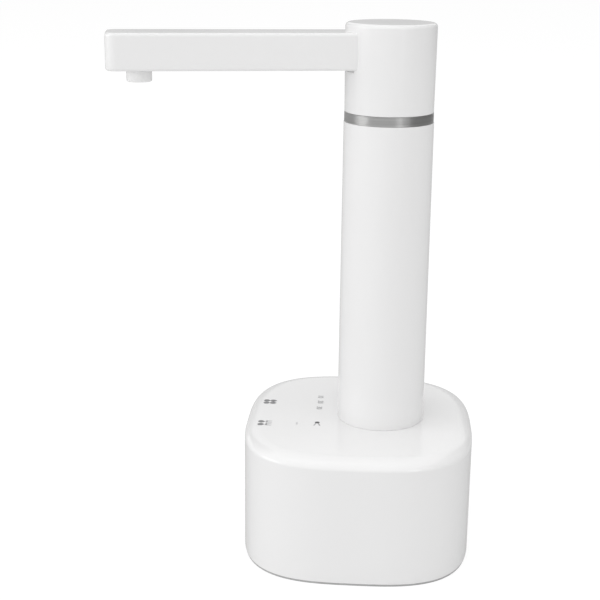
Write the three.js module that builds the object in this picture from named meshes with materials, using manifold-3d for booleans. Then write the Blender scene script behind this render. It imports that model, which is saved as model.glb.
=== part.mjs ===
// A table-top water pump for bottled water: a rounded base holds the battery, the touch keys and
// a gear pump, a column carries the water up, and a head with a flat spout turns on the column.
// Millimetres, +Z up. The origin lies under the middle of the base and the spout points to -X.

import * as THREE from "three";
import { mergeVertices } from "three/addons/utils/BufferGeometryUtils.js";
import Module from "manifold-3d";

const wasm = await Module();
wasm.setup();

// Shared fits
const CLEARANCE = 0.3; // between pieces that slide, turn or fit into each other
const OVERRUN = 1; // how far a cutting shape runs past the face that it opens
const SEAM_CHAMFER = 0.3; // broken edge where two casings meet

// Base casing
const BASE_LENGTH = 104.5;
const BASE_WIDTH = 112.8;
const BASE_HEIGHT = 58.85;
const BASE_SQUARENESS = 3.07; // exponent of the superellipse seen from above
const BASE_EDGE_ROUND = 5;
const BASE_FOOT_ROUND = 0.9;
const BASE_WALL = 2.4;
const BASE_ROOF = 2.6;
const BASE_INNER_ROUND = 2.6;
const PAD_HEIGHT = 1.6;
const PAD_INSET = 0.3;
const COVER_THICKNESS = 2.4;

// Screws
const SCREW = { shank: 1.2, head: 2.2, headHeight: 1.3, length: 9 };
const SHORT_SCREW = { shank: 1.2, head: 2.2, headHeight: 1.3, length: 6 };
const FINE_SCREW = { shank: 0.8, head: 1.5, headHeight: 1, length: 6 };
const BOSS_RADIUS = 3.6;
const SMALL_BOSS_RADIUS = 2.4;
const FINE_BOSS_RADIUS = 1.8;
const COVER_SCREW_INSET = 5.2; // from the corner of the base's outline, along X and along Y

// Hose ends and silicone tubes
const BARB_CREST_RADIUS = 2.7;
const BARB_CORE_RADIUS = 2.2;
const BARB_BORE_RADIUS = 1.5;
const BARB_LENGTH = 6;
const TUBE_WALL = 1.2;
const TUBE_BEND_RADIUS = 7;

// Column
const COLUMN_SETBACK = 42.4; // from the base's rear face to the column's axis
const COLUMN_RADIUS = 20;
const COLUMN_HEIGHT = 137.45;
const COLUMN_WALL = 2.5;
const COLUMN_FLOOR = 4;
const SPIGOT_RADIUS = 16.5;
const SPIGOT_WALL = 3;
const GASKET_THICKNESS = 0.8;
const NUT_RADIUS = 20.5;
const NUT_HEIGHT = 4.4;
const NUT_NOTCH_WIDTH = 4;
const NUT_NOTCH_DEPTH = 1.6;
const NUT_NOTCHES = 4;

// Swivel on the column's top
const RING_RADIUS = 19.9;
const RING_HEIGHT = 4.65;
const RING_LIP = 0.9;
const NECK_FLANGE_HEIGHT = 1.2;
const NECK_PLUG_DEPTH = 13;
const NECK_RADIUS = 13;
const NECK_HEIGHT = 11;
const NECK_WALL = 3;
const NECK_FLOOR = 5;
const CLIP_THICKNESS = 1;
const CLIP_GROOVE_DEPTH = 1;
const CLIP_WIDTH = 3.2;
const CLIP_GAP_ANGLE = 0.5;
const WASHER_THICKNESS = 0.5;
const COLLAR_HEIGHT = 7.2;

// Hollow pin at the centre of the swivel
const PIN_RADIUS = 5;
const PIN_HEIGHT = 8.8;
const PIN_FLANGE_RADIUS = 8;
const PIN_FLANGE_HEIGHT = 1.5;
const PIN_STEM_RADIUS = 4.4;
const PIN_SEALS = 2;
const SEAL_WIDTH = 1.8;
const SEAL_DEPTH = 1.1;
const ELBOW_WALL = 2.4;
const ELBOW_BARB_REACH = 15;

// Turning head with its spout arm
const HEAD_TOP_RADIUS = 20.05;
const HEAD_FOOT_RADIUS = 19.7;
const HEAD_HEIGHT = 37.7;
const HEAD_EDGE_ROUND = 1;
const HEAD_WALL = 2.2;
const HEAD_LEDGE = 0.7;
const ARM_REACH = 121.8;
const ARM_WIDTH = 22.5;
const ARM_HEIGHT = 15.7;
const ARM_DROP = 3.85; // from the head's top face down to the arm's
const ARM_CORNER_RADIUS = 4.6;
const ARM_EDGE_ROUND = 0.8;
const ARM_FOOT_ROUND = 0.6;
const ARM_WALL = 2;
const SPOUT_COVER_THICKNESS = 2;
const REST_SWIVEL = THREE.MathUtils.degToRad(10.6);

// Nozzle under the arm's end
const NOZZLE_INSET = 13.9; // from the arm's end to the nozzle's axis
const NOZZLE_RADIUS = 5.45;
const NOZZLE_DROP = 5.25;
const NOZZLE_EDGE_ROUND = 1;
const NOZZLE_FLANGE_RADIUS = 7.2;
const NOZZLE_FLANGE_HEIGHT = 1.4;
const NOZZLE_MOUTH_RADIUS = 4.3;
const NOZZLE_MOUTH_DEPTH = 4;
const STRAIGHTENER_HEIGHT = 3;
const STRAIGHTENER_WALL = 0.8;

// Gear pump
const GEAR_TEETH = 12;
const GEAR_MODULE = 1;
const GEAR_WIDTH = 6;
const PRESSURE_ANGLE = THREE.MathUtils.degToRad(20);
const ADDENDUM_SHARE = 0.9; // of the module
const DEDENDUM_SHARE = 1.2; // of the module
const PUMP_WALL = 3.2;
const PUMP_SIDE_WALL = 4.8;
const PUMP_CORNER_RADIUS = 3.5;
const PUMP_FLOOR = 6;
const PUMP_COVER_THICKNESS = 3;
const PUMP_AXIS_HEIGHT = 33;
const SHAFT_RADIUS = 1;
const SHAFT_RECESS = 1.8;
const SHAFT_SEAL_RADIUS = 3.2;
const SHAFT_SEAL_WIDTH = 1.6;
const MOTOR_RADIUS = 12.2;
const MOTOR_LENGTH = 26;
const MOTOR_EDGE_ROUND = 1.2;
const MOTOR_NOSE_RADIUS = 3;
const MOTOR_NOSE_LENGTH = 1.5;
const MOTOR_BORE_DEPTH = 5;
const MOTOR_CAP_RADIUS = 10.4;
const MOTOR_CAP_LENGTH = 3.2;
const MOTOR_BOSS_RADIUS = 3.5;
const TERMINAL_WIDTH = 2.4;
const TERMINAL_THICKNESS = 0.5;
const TERMINAL_LENGTH = 4;
const COLLAR_WALL = 1.6;
const COLLAR_DEPTH = 4;
const SADDLE_EAR = 5.6;
const SADDLE_LENGTH = 10;
const SADDLE_SETBACK = 8; // from the pump's body to the saddle
const STRAP_THICKNESS = 1.6;

// Water inlet in the rear wall
const INLET_DROP = 21.85; // from the base's top face to the inlet's axis
const CUP_RADIUS = 9.2;
const CUP_WALL = 1.2;
const CUP_DEPTH = 7;
const CUP_FLOOR = 1.6;
const INLET_FLANGE_RADIUS = 11.5;
const INLET_FLANGE_THICKNESS = 1.2;

// Charging socket in the rear wall
const USB_PLACE_SHARE = 0.51; // of the height between the bottom cover and the inlet's flange
const USB_WIDTH = 8.9;
const USB_THICKNESS = 3.3;
const USB_DEPTH = 7.3;
const USB_SHELL = 0.4;
const USB_RECESS = 0.6;
const USB_TONGUE_THICKNESS = 0.8;
const USB_BOARD_LENGTH = 13;
const USB_BOARD_WIDTH = 15;
const USB_BOARD_THICKNESS = 1.2;

// Battery
const CELL_RADIUS = 9.2;
const CELL_END_ROOM = 23.9; // from the base's side to the cell's end
const CELL_BUTTON_RADIUS = 3;
const CELL_BUTTON_HEIGHT = 1.4;
const CELL_EDGE_ROUND = 0.8;
const CELL_PLACE_SHARE = 0.21; // of the free room between the front wall and the motor's saddle
const CRADLE_WALL = 1.8;
const CELL_STRAP_WIDTH = 11;

// Control board, touch pads and lights under the base's roof
const BOARD_THICKNESS = 1.6;
const BOARD_DROP = 8; // from the roof's underside down to the board's top
const BOARD_EDGE_GAP = 1.3; // from the front wall to the board's corners
const BOARD_LENGTH = 33;
const BOARD_WIDTH = 54;
const BOARD_POST_INSET = 4;
const BOARD_CONNECTOR = { length: 8, width: 12, height: 5.5 };
const BOARD_CHIP = { length: 7, width: 7, height: 1.4 };
const BOARD_COIL = { radius: 4, height: 4.5 };
const TOUCH_PAD_RADIUS = 4.5;
const TOUCH_PAD_SETBACK = 10.75; // from the base's front face
const TOUCH_PAD_LEFT_Y = 10.2;
const TOUCH_PAD_RIGHT_Y = -16.6;
const LIGHT_PLACE_SHARE = 0.72; // of the way from the touch pads to the column
const LIGHT_PLACES_Y = { first: 3.9, second: 11.5, third: 19 };
const LIGHT_RADIUS = 1.7;
const LIGHT_SKIN = 0.8; // roof left over each light
const LIGHT_BAR_WIDTH = 4;
const LIGHT_BAR_HEIGHT = 2;

// Numbers of facets and steps
const ROUND_SIDES = 40; // of the column, ring and head
const INNER_SIDES = 18; // of the wide round pieces inside
const SMALL_SIDES = 10;
const SCREW_SIDES = 6;
const OUTLINE_POINTS = 48;
const EDGE_ROUND_STEPS = 5; // of the base's wide top edge
const SMALL_ROUND_STEPS = 2;
const CORNER_STEPS = 5;
const FLANK_STEPS = 3;
const TUBE_HALF_SIDES = 5;
const TUBE_STEPS = 16;
const PLATE_CORNER_STEPS = 2;
const BARB_RIDGES = 2;
const MERGE_TOLERANCE = 1e-3;

const QUARTER_TURN = Math.PI / 2;
const HALF_TURN = Math.PI;
const FULL_TURN = Math.PI * 2;

// Heights and places that follow from the sizes above
const rearFace = BASE_LENGTH / 2;
const columnX = rearFace - COLUMN_SETBACK;
const coverTop = PAD_HEIGHT + COVER_THICKNESS;
const roofUnderside = BASE_HEIGHT - BASE_ROOF;
const inletHeight = BASE_HEIGHT - INLET_DROP;
const usbHeight = coverTop + USB_PLACE_SHARE * (inletHeight - INLET_FLANGE_RADIUS - coverTop);
const tubeBore = BARB_CREST_RADIUS + CLEARANCE;
const tubeRadius = tubeBore + TUBE_WALL;
const columnBore = COLUMN_RADIUS - COLUMN_WALL;
const columnTop = BASE_HEIGHT + COLUMN_HEIGHT;
const plugRadius = columnBore - CLEARANCE;
const neckFlangeRadius = RING_RADIUS - RING_LIP - CLEARANCE;
const ringBore = plugRadius + CLEARANCE;
const headFoot = RING_HEIGHT + CLEARANCE; // above the column's top, like the next heights
const collarFoot = RING_HEIGHT + WASHER_THICKNESS;
const collarTop = collarFoot + COLLAR_HEIGHT;
const clipFoot = collarTop + CLEARANCE;
const neckTop = RING_HEIGHT + NECK_HEIGHT;
const pinFoot = neckTop + PIN_FLANGE_HEIGHT;
const pinTop = pinFoot + PIN_HEIGHT;
const headTop = headFoot + HEAD_HEIGHT;
const armTop = headTop - ARM_DROP;
const armFoot = armTop - ARM_HEIGHT;
const armMiddle = (armFoot + SPOUT_COVER_THICKNESS + armTop - ARM_WALL) / 2;
const headCeiling = headTop - HEAD_WALL;
const headBore = HEAD_FOOT_RADIUS - HEAD_WALL;
const nozzleReach = ARM_REACH - NOZZLE_INSET;

const gearPitchRadius = (GEAR_MODULE * GEAR_TEETH) / 2;
const gearTipRadius = gearPitchRadius + GEAR_MODULE * ADDENDUM_SHARE;
const chamberRadius = gearTipRadius + CLEARANCE;
const pumpHalfLength = gearPitchRadius + chamberRadius + PUMP_WALL;
const pumpHalfHeight = chamberRadius + PUMP_SIDE_WALL;
const chamberBack = GEAR_WIDTH / 2 + CLEARANCE; // along the shaft, from the middle of the gears
const pumpBack = chamberBack + PUMP_FLOOR;
const coverInside = -chamberBack;
const pumpFace = coverInside + GASKET_THICKNESS;
const pumpScrewX = pumpHalfLength - PUMP_CORNER_RADIUS;
const pumpScrewY = pumpHalfHeight - PUMP_CORNER_RADIUS;
const motorBack = pumpBack + MOTOR_LENGTH;

/** A closed geometry as a solid that can be joined and cut. */
function solidOf(geometry) {
  const bare = new THREE.BufferGeometry();
  bare.setAttribute("position", geometry.getAttribute("position"));
  bare.setIndex(geometry.getIndex());
  const merged = mergeVertices(bare, MERGE_TOLERANCE);
  const vertProperties = merged.getAttribute("position").array;
  const triVerts = new Uint32Array(merged.getIndex().array);
  return new wasm.Manifold(new wasm.Mesh({ numProp: 3, vertProperties, triVerts }));
}

/** A solid as a geometry with normals for drawing. */
function geometryOf(solid) {
  const { vertProperties, triVerts } = solid.getMesh();
  const geometry = new THREE.BufferGeometry();
  geometry.setAttribute("position", new THREE.BufferAttribute(vertProperties, 3));
  geometry.setIndex(new THREE.BufferAttribute(triVerts, 1));
  geometry.computeVertexNormals();
  return geometry;
}

function join(...geometries) {
  return geometryOf(geometries.map(solidOf).reduce((whole, next) => whole.add(next)));
}

function cut(body, ...tools) {
  return geometryOf(tools.map(solidOf).reduce((rest, tool) => rest.subtract(tool), solidOf(body)));
}

/** Turns a profile of [radius, height] pairs round +Z; it runs anticlockwise. */
function revolve(profile, sides = SMALL_SIDES) {
  const points = profile.map(([radius, height]) => new THREE.Vector2(radius, height));
  return new THREE.LatheGeometry(points, sides).rotateX(QUARTER_TURN);
}

function disc(radius, bottom, top, sides = SMALL_SIDES) {
  return revolve([[0, bottom], [radius, bottom], [radius, top], [0, top]], sides);
}

function ring(inner, outer, bottom, top, sides = SMALL_SIDES) {
  const corner = [inner, bottom];
  return revolve([corner, [outer, bottom], [outer, top], [inner, top], corner], sides);
}

function prism(shape, bottom, top) {
  const settings = { depth: top - bottom, bevelEnabled: false, curveSegments: PLATE_CORNER_STEPS };
  return new THREE.ExtrudeGeometry(shape, settings).translate(0, 0, bottom);
}

function block(xRange, yRange, zRange) {
  const sizes = [xRange, yRange, zRange].map(([low, high]) => high - low);
  const middles = [xRange, yRange, zRange].map(([low, high]) => (low + high) / 2);
  return new THREE.BoxGeometry(...sizes).translate(...middles);
}

function roundedRectangle(length, width, corner) {
  const [x, y] = [length / 2, width / 2];
  const shape = new THREE.Shape();
  shape.moveTo(x, corner - y);
  shape.absarc(x - corner, y - corner, corner, 0, QUARTER_TURN);
  shape.absarc(corner - x, y - corner, corner, QUARTER_TURN, HALF_TURN);
  shape.absarc(corner - x, corner - y, corner, HALF_TURN, HALF_TURN + QUARTER_TURN);
  shape.absarc(x - corner, corner - y, corner, HALF_TURN + QUARTER_TURN, FULL_TURN);
  return shape;
}

/** Skins a stack of outlines with the same number of points, from the lowest to the highest. */
function loft(outlines) {
  const count = outlines[0].length;
  const positions = outlines.flat().flatMap((point) => point.toArray());
  const faces = [];
  for (let level = 0; level + 1 < outlines.length; level++) {
    for (let i = 0; i < count; i++) {
      const here = level * count + i;
      const next = level * count + ((i + 1) % count);
      faces.push(here, next, next + count, here, next + count, here + count);
    }
  }
  const flat = outlines[0].map((point) => new THREE.Vector2(point.x, point.y));
  const last = (outlines.length - 1) * count;
  for (const [a, b, c] of THREE.ShapeUtils.triangulateShape(flat, [])) {
    faces.push(a, c, b, last + a, last + b, last + c);
  }
  const geometry = new THREE.BufferGeometry();
  geometry.setAttribute("position", new THREE.Float32BufferAttribute(positions, 3));
  geometry.setIndex(faces);
  return geometry;
}

/** Inset and height of each level of a rounded foot, from the bottom face up. */
function footLevels(bottom, radius, steps = SMALL_ROUND_STEPS) {
  return Array.from({ length: steps + 1 }, (_, step) => {
    const turn = (step / steps) * QUARTER_TURN;
    return [radius * (1 - Math.sin(turn)), bottom + radius * (1 - Math.cos(turn))];
  });
}

/** Inset and height of each level of a rounded top edge, up to the top face. */
function edgeLevels(top, radius, steps = SMALL_ROUND_STEPS) {
  return Array.from({ length: steps + 1 }, (_, step) => {
    const turn = (step / steps) * QUARTER_TURN;
    return [radius * (1 - Math.cos(turn)), top - radius * (1 - Math.sin(turn))];
  });
}

/** The base seen from above, drawn in by an inset. */
function baseOutline(inset, height) {
  return Array.from({ length: OUTLINE_POINTS }, (_, i) => {
    const turn = (i / OUTLINE_POINTS) * FULL_TURN;
    const [along, across] = [Math.cos(turn), Math.sin(turn)];
    const x = (BASE_LENGTH / 2 - inset) * Math.sign(along) * Math.abs(along) ** (2 / BASE_SQUARENESS);
    const y = (BASE_WIDTH / 2 - inset) * Math.sign(across) * Math.abs(across) ** (2 / BASE_SQUARENESS);
    return new THREE.Vector3(x, y, height);
  });
}

/** How far the drawn-in outline of the base reaches along X at a distance from its middle. */
function baseReach(inset, across) {
  const share = Math.abs(across) / (BASE_WIDTH / 2 - inset);
  return (BASE_LENGTH / 2 - inset) * (1 - share ** BASE_SQUARENESS) ** (1 / BASE_SQUARENESS);
}

/** A pan-head screw: its head stands on z = 0 and its shank hangs below. */
function screw({ shank, head, headHeight, length }) {
  return revolve([
    [0, -length],
    [shank, -length],
    [shank, 0],
    [head, 0],
    [head, headHeight / 2],
    [head / 2, headHeight],
    [0, headHeight],
  ], SCREW_SIDES);
}

/** The hole that a screw is driven into. */
function pilotHole({ shank }, bottom, top) {
  return disc(shank + CLEARANCE, bottom, top, SCREW_SIDES);
}

/** A through hole with a sunk seat for the head, driven from below. */
function sunkHole({ shank, head, headHeight }, bottom, top) {
  return join(
    disc(shank + CLEARANCE, bottom, top + OVERRUN, SCREW_SIDES),
    disc(head + CLEARANCE, bottom - OVERRUN, bottom + headHeight, SCREW_SIDES),
  );
}

/** A ridged hose end that points up from z = 0, with a short root below. */
function hoseBarb() {
  const profile = [[0, -OVERRUN], [BARB_CORE_RADIUS, -OVERRUN], [BARB_CORE_RADIUS, 0]];
  for (let ridge = 0; ridge < BARB_RIDGES; ridge++) {
    profile.push([BARB_CREST_RADIUS, (ridge / BARB_RIDGES) * BARB_LENGTH]);
    profile.push([BARB_CORE_RADIUS, ((ridge + 1) / BARB_RIDGES) * BARB_LENGTH]);
  }
  profile.push([0, BARB_LENGTH]);
  return revolve(profile);
}

/** A silicone tube along a curve, slipped over the hose ends. */
function hose(path, steps) {
  const wall = new THREE.Shape().absarc(0, 0, tubeRadius, 0, FULL_TURN);
  wall.holes.push(new THREE.Path().absarc(0, 0, tubeBore, 0, FULL_TURN, true));
  const settings = { steps, extrudePath: path, curveSegments: TUBE_HALF_SIDES };
  return new THREE.ExtrudeGeometry(wall, settings);
}

/** A path of straight runs whose corners bend at one radius. */
function bentPath(corners, radius) {
  const path = new THREE.CurvePath();
  let from = corners[0];
  for (let i = 1; i + 1 < corners.length; i++) {
    const corner = corners[i];
    const start = corner.clone().add(corners[i - 1].clone().sub(corner).setLength(radius));
    const end = corner.clone().add(corners[i + 1].clone().sub(corner).setLength(radius));
    path.add(new THREE.LineCurve3(from, start));
    path.add(new THREE.QuadraticBezierCurve3(start, corner, end));
    from = end;
  }
  path.add(new THREE.LineCurve3(from, corners.at(-1)));
  return path;
}

// Base casing

const cornerShare = 2 ** (-1 / BASE_SQUARENESS); // where the outline's corner lies, of its half sizes
const coverScrewX = (cornerShare * BASE_LENGTH) / 2 - COVER_SCREW_INSET;
const coverScrewY = (cornerShare * BASE_WIDTH) / 2 - COVER_SCREW_INSET;
const coverScrewPlaces = [[1, 1], [1, -1], [-1, 1], [-1, -1]].map(
  ([along, across]) => new THREE.Vector2(along * coverScrewX, across * coverScrewY),
);
const boardTop = roofUnderside - BOARD_DROP;
const boardFoot = boardTop - BOARD_THICKNESS;
const boardLeft = BOARD_EDGE_GAP - baseReach(BASE_WALL, BOARD_WIDTH / 2);
const boardRight = boardLeft + BOARD_LENGTH;
const boardScrewPlaces = [
  new THREE.Vector2(boardLeft + BOARD_POST_INSET, BOARD_WIDTH / 2 - BOARD_POST_INSET),
  new THREE.Vector2(boardRight - BOARD_POST_INSET, BOARD_POST_INSET - BOARD_WIDTH / 2),
];
const touchPadX = TOUCH_PAD_SETBACK - BASE_LENGTH / 2;
const lightX = touchPadX + LIGHT_PLACE_SHARE * (columnX - COLUMN_RADIUS - touchPadX);
const lightPlaces = Object.values(LIGHT_PLACES_Y);

/** A boss that hangs from the base's roof, with a pilot hole up its middle. */
function roofBoss(place, radius, bottom) {
  const boss = disc(radius, bottom, roofUnderside + OVERRUN);
  const hole = pilotHole(SCREW, bottom - OVERRUN, roofUnderside);
  return cut(boss, hole).translate(place.x, place.y, 0);
}

/** The hole through the rear wall that shows the charging socket. */
function usbSlot() {
  const slot = roundedRectangle(
    USB_THICKNESS + 2 * CLEARANCE,
    USB_WIDTH + 2 * CLEARANCE,
    USB_THICKNESS / 2,
  );
  const length = BASE_WALL + BASE_INNER_ROUND;
  return prism(slot, -length, OVERRUN).rotateY(QUARTER_TURN).translate(rearFace, 0, usbHeight);
}

function baseShell() {
  const levels = [
    ...footLevels(PAD_HEIGHT, BASE_FOOT_ROUND),
    ...edgeLevels(BASE_HEIGHT, BASE_EDGE_ROUND, EDGE_ROUND_STEPS),
  ];
  const hollowLevels = [
    [0, PAD_HEIGHT - OVERRUN],
    ...edgeLevels(roofUnderside, BASE_INNER_ROUND),
  ];
  const outside = loft(levels.map(([inset, height]) => baseOutline(inset, height)));
  const hollow = loft(hollowLevels.map(([inset, height]) => baseOutline(BASE_WALL + inset, height)));
  const columnHole = disc(
    SPIGOT_RADIUS + CLEARANCE,
    roofUnderside - OVERRUN,
    BASE_HEIGHT + OVERRUN,
    ROUND_SIDES,
  );
  const inletHole = disc(CUP_RADIUS + CLEARANCE, -BASE_WALL - BASE_INNER_ROUND, OVERRUN, INNER_SIDES);
  const pocket = [LIGHT_RADIUS + CLEARANCE, roofUnderside - OVERRUN, BASE_HEIGHT - LIGHT_SKIN];
  const lightPockets = lightPlaces.map((y) => disc(...pocket).translate(lightX, y, 0));
  const bosses = [
    ...coverScrewPlaces.map((place) => roofBoss(place, BOSS_RADIUS, coverTop)),
    ...boardScrewPlaces.map((place) => roofBoss(place, SMALL_BOSS_RADIUS, boardTop)),
  ];
  const shell = cut(
    outside,
    hollow,
    columnHole.translate(columnX, 0, 0),
    inletHole.rotateY(QUARTER_TURN).translate(rearFace, 0, inletHeight),
    usbSlot(),
    ...lightPockets,
  );
  return join(shell, ...bosses);
}

function basePad() {
  return loft([0, PAD_HEIGHT].map((height) => baseOutline(PAD_INSET, height)));
}

/** The plate that closes the base, with a sunk hole for each screw and posts for the socket's board. */
function bottomCover() {
  const inset = BASE_WALL + CLEARANCE;
  const plate = loft([PAD_HEIGHT, coverTop].map((height) => baseOutline(inset, height)));
  const holes = coverScrewPlaces.map(({ x, y }) => sunkHole(SCREW, PAD_HEIGHT, coverTop).translate(x, y, 0));
  const postY = USB_BOARD_WIDTH / 2 - SMALL_BOSS_RADIUS;
  const posts = [-postY, postY].map((y) =>
    disc(SMALL_BOSS_RADIUS, coverTop - OVERRUN, usbBoardFoot).translate(usbBoardMiddle, y, 0),
  );
  return join(cut(plate, ...holes), ...posts);
}

/** A cover screw, driven upwards from its sunk seat. */
function coverScrew() {
  return screw(SCREW).rotateX(HALF_TURN).translate(0, 0, PAD_HEIGHT + SCREW.headHeight);
}

// Rear wall: water inlet and charging socket

const inletSeat = baseReach(BASE_WALL, INLET_FLANGE_RADIUS) - CLEARANCE - rearFace; // behind the rear face
const inletFlangeTop = inletSeat - GASKET_THICKNESS;
const cupBack = -CUP_DEPTH - CUP_FLOOR;
const usbBack = rearFace - USB_RECESS - USB_DEPTH;
const usbBoardFoot = usbHeight - USB_THICKNESS / 2 - USB_BOARD_THICKNESS;
const usbBoardFront = baseReach(BASE_WALL, USB_BOARD_WIDTH / 2) - CLEARANCE;
const usbBoardMiddle = usbBoardFront - USB_BOARD_LENGTH / 2;

/** A cup in the rear wall with one hose end inside it and one behind it; +Z points out. */
function inletFitting() {
  const cup = disc(CUP_RADIUS, cupBack, 0, INNER_SIDES);
  const flangeFoot = inletFlangeTop - INLET_FLANGE_THICKNESS;
  const flange = disc(INLET_FLANGE_RADIUS, flangeFoot, inletFlangeTop, INNER_SIDES);
  const hollow = disc(CUP_RADIUS - CUP_WALL, -CUP_DEPTH, OVERRUN, INNER_SIDES);
  const outerBarb = hoseBarb().translate(0, 0, -CUP_DEPTH);
  const innerBarb = hoseBarb().rotateX(HALF_TURN).translate(0, 0, cupBack);
  const bore = disc(BARB_BORE_RADIUS, cupBack - BARB_LENGTH - OVERRUN, OVERRUN);
  return cut(join(cut(join(cup, flange), hollow), outerBarb, innerBarb), bore);
}

/** The flat ring between the inlet's flange and the rear wall. */
function inletSeal() {
  return ring(CUP_RADIUS + CLEARANCE, INLET_FLANGE_RADIUS, inletFlangeTop, inletSeat, INNER_SIDES);
}

/** The bent tube from the inlet down to the pump's lower port. */
function inletTube() {
  const portFoot = PUMP_AXIS_HEIGHT - pumpHalfHeight - CLEARANCE;
  const runHeight = coverTop + tubeRadius + 2 * CLEARANCE;
  const start = rearFace + cupBack - CLEARANCE;
  const drop = columnX + pumpHalfLength + tubeRadius + 2 * CLEARANCE;
  const corners = [
    [start, inletHeight],
    [drop, inletHeight],
    [drop, runHeight],
    [columnX, runHeight],
    [columnX, portFoot],
  ].map(([x, z]) => new THREE.Vector3(x, 0, z));
  return hose(bentPath(corners, TUBE_BEND_RADIUS), TUBE_STEPS);
}

/** The socket's metal shell with its tongue; +Z points out of the mouth. */
function usbSocket() {
  const outer = roundedRectangle(USB_THICKNESS, USB_WIDTH, USB_THICKNESS / 2);
  const [mouthHeight, mouthWidth] = [USB_THICKNESS - 2 * USB_SHELL, USB_WIDTH - 2 * USB_SHELL];
  const inner = roundedRectangle(mouthHeight, mouthWidth, mouthHeight / 2);
  const tongueHalf = mouthWidth / 2 - USB_TONGUE_THICKNESS;
  const tongue = block(
    [-USB_TONGUE_THICKNESS / 2, USB_TONGUE_THICKNESS / 2],
    [-tongueHalf, tongueHalf],
    [0, USB_DEPTH - USB_RECESS],
  );
  const shell = cut(prism(outer, 0, USB_DEPTH), prism(inner, USB_SHELL, USB_DEPTH + OVERRUN));
  return join(shell, tongue);
}

function usbBoard() {
  const halfWidth = USB_BOARD_WIDTH / 2;
  return block(
    [usbBoardFront - USB_BOARD_LENGTH, usbBoardFront],
    [-halfWidth, halfWidth],
    [usbBoardFoot, usbBoardFoot + USB_BOARD_THICKNESS],
  );
}

// Battery

const cellLength = BASE_WIDTH - 2 * CELL_END_ROOM;
const cellHeight = coverTop + CRADLE_WALL + CLEARANCE + CELL_RADIUS;
const cradleHalfWidth = CELL_RADIUS + CLEARANCE + CRADLE_WALL;
const cradleHalfLength = cellLength / 2 + CLEARANCE + CRADLE_WALL;

/** Where the cell lies between the front wall and the motor's saddle. */
function cellX() {
  const frontWall = -baseReach(BASE_WALL, cradleHalfLength);
  const saddleSide = columnX + gearPitchRadius - saddleHalf;
  const room = saddleSide - frontWall - 2 * cradleHalfWidth;
  return frontWall + CELL_PLACE_SHARE * room + cradleHalfWidth;
}

function batteryCell() {
  const half = cellLength / 2;
  const shoulder = half - CELL_BUTTON_HEIGHT;
  return revolve([
    [0, -half],
    [CELL_RADIUS - CELL_EDGE_ROUND, -half],
    [CELL_RADIUS, CELL_EDGE_ROUND - half],
    [CELL_RADIUS, shoulder - CELL_EDGE_ROUND],
    [CELL_RADIUS - CELL_EDGE_ROUND, shoulder],
    [CELL_BUTTON_RADIUS, shoulder],
    [CELL_BUTTON_RADIUS, half],
    [0, half],
  ], INNER_SIDES).rotateX(QUARTER_TURN);
}

/** A trough with closed ends that holds the lower half of the cell. */
function batteryCradle() {
  const body = block(
    [-cradleHalfWidth, cradleHalfWidth],
    [-cradleHalfLength, cradleHalfLength],
    [coverTop - cellHeight, 0],
  );
  const end = cradleHalfLength - CRADLE_WALL;
  return cut(body, disc(CELL_RADIUS + CLEARANCE, -end, end, INNER_SIDES).rotateX(QUARTER_TURN));
}

/** A half band over a round body that lies along Z, with its feet on y = 0. */
function halfBand(inner, outer, length) {
  const reach = outer + OVERRUN;
  const lowerHalf = block([-reach, reach], [0, reach], [-OVERRUN, length + OVERRUN]);
  return cut(ring(inner, outer, 0, length, INNER_SIDES), lowerHalf);
}

function batteryStrap() {
  const inner = CELL_RADIUS + CLEARANCE;
  const band = halfBand(inner, inner + CRADLE_WALL, CELL_STRAP_WIDTH);
  return band.translate(0, 0, -CELL_STRAP_WIDTH / 2).rotateX(-QUARTER_TURN);
}

// Control board

/** The board with a connector, a chip and a coil on its underside. */
function controlBoard() {
  const plate = block([boardLeft, boardRight], [-BOARD_WIDTH / 2, BOARD_WIDTH / 2], [boardFoot, boardTop]);
  const part = ({ length, width, height }, x, y) => {
    const [halfLength, halfWidth] = [length / 2, width / 2];
    const heights = [boardFoot - height, boardTop - CLEARANCE];
    return block([x - halfLength, x + halfLength], [y - halfWidth, y + halfWidth], heights);
  };
  const middle = (boardLeft + boardRight) / 2;
  const coil = disc(BOARD_COIL.radius, boardFoot - BOARD_COIL.height, boardTop - CLEARANCE);
  const holes = boardScrewPlaces.map(({ x, y }) =>
    pilotHole(SHORT_SCREW, boardFoot - OVERRUN, boardTop + OVERRUN).translate(x, y, 0),
  );
  const whole = join(
    plate,
    part(BOARD_CONNECTOR, boardLeft + BOARD_CONNECTOR.length, 0),
    part(BOARD_CHIP, middle, BOARD_CHIP.width),
    coil.translate(middle - BOARD_COIL.radius, -BOARD_WIDTH / 2 + 2 * BOARD_COIL.radius, 0),
  );
  return cut(whole, ...holes);
}

/** Three light posts on one bar, so that each light shows through the thin roof over it. */
function lightGuide() {
  const posts = lightPlaces.map((y) =>
    disc(LIGHT_RADIUS, boardTop, BASE_HEIGHT - LIGHT_SKIN - CLEARANCE).translate(lightX, y, 0),
  );
  const halfBar = LIGHT_BAR_WIDTH / 2;
  const bar = block(
    [lightX - halfBar, lightX + halfBar],
    [Math.min(...lightPlaces), Math.max(...lightPlaces)],
    [boardTop + LIGHT_BAR_HEIGHT, boardTop + 2 * LIGHT_BAR_HEIGHT],
  );
  return join(bar, ...posts);
}

// Gear pump: +Z runs along the shaft to the motor and the lower port points to +Y

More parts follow.
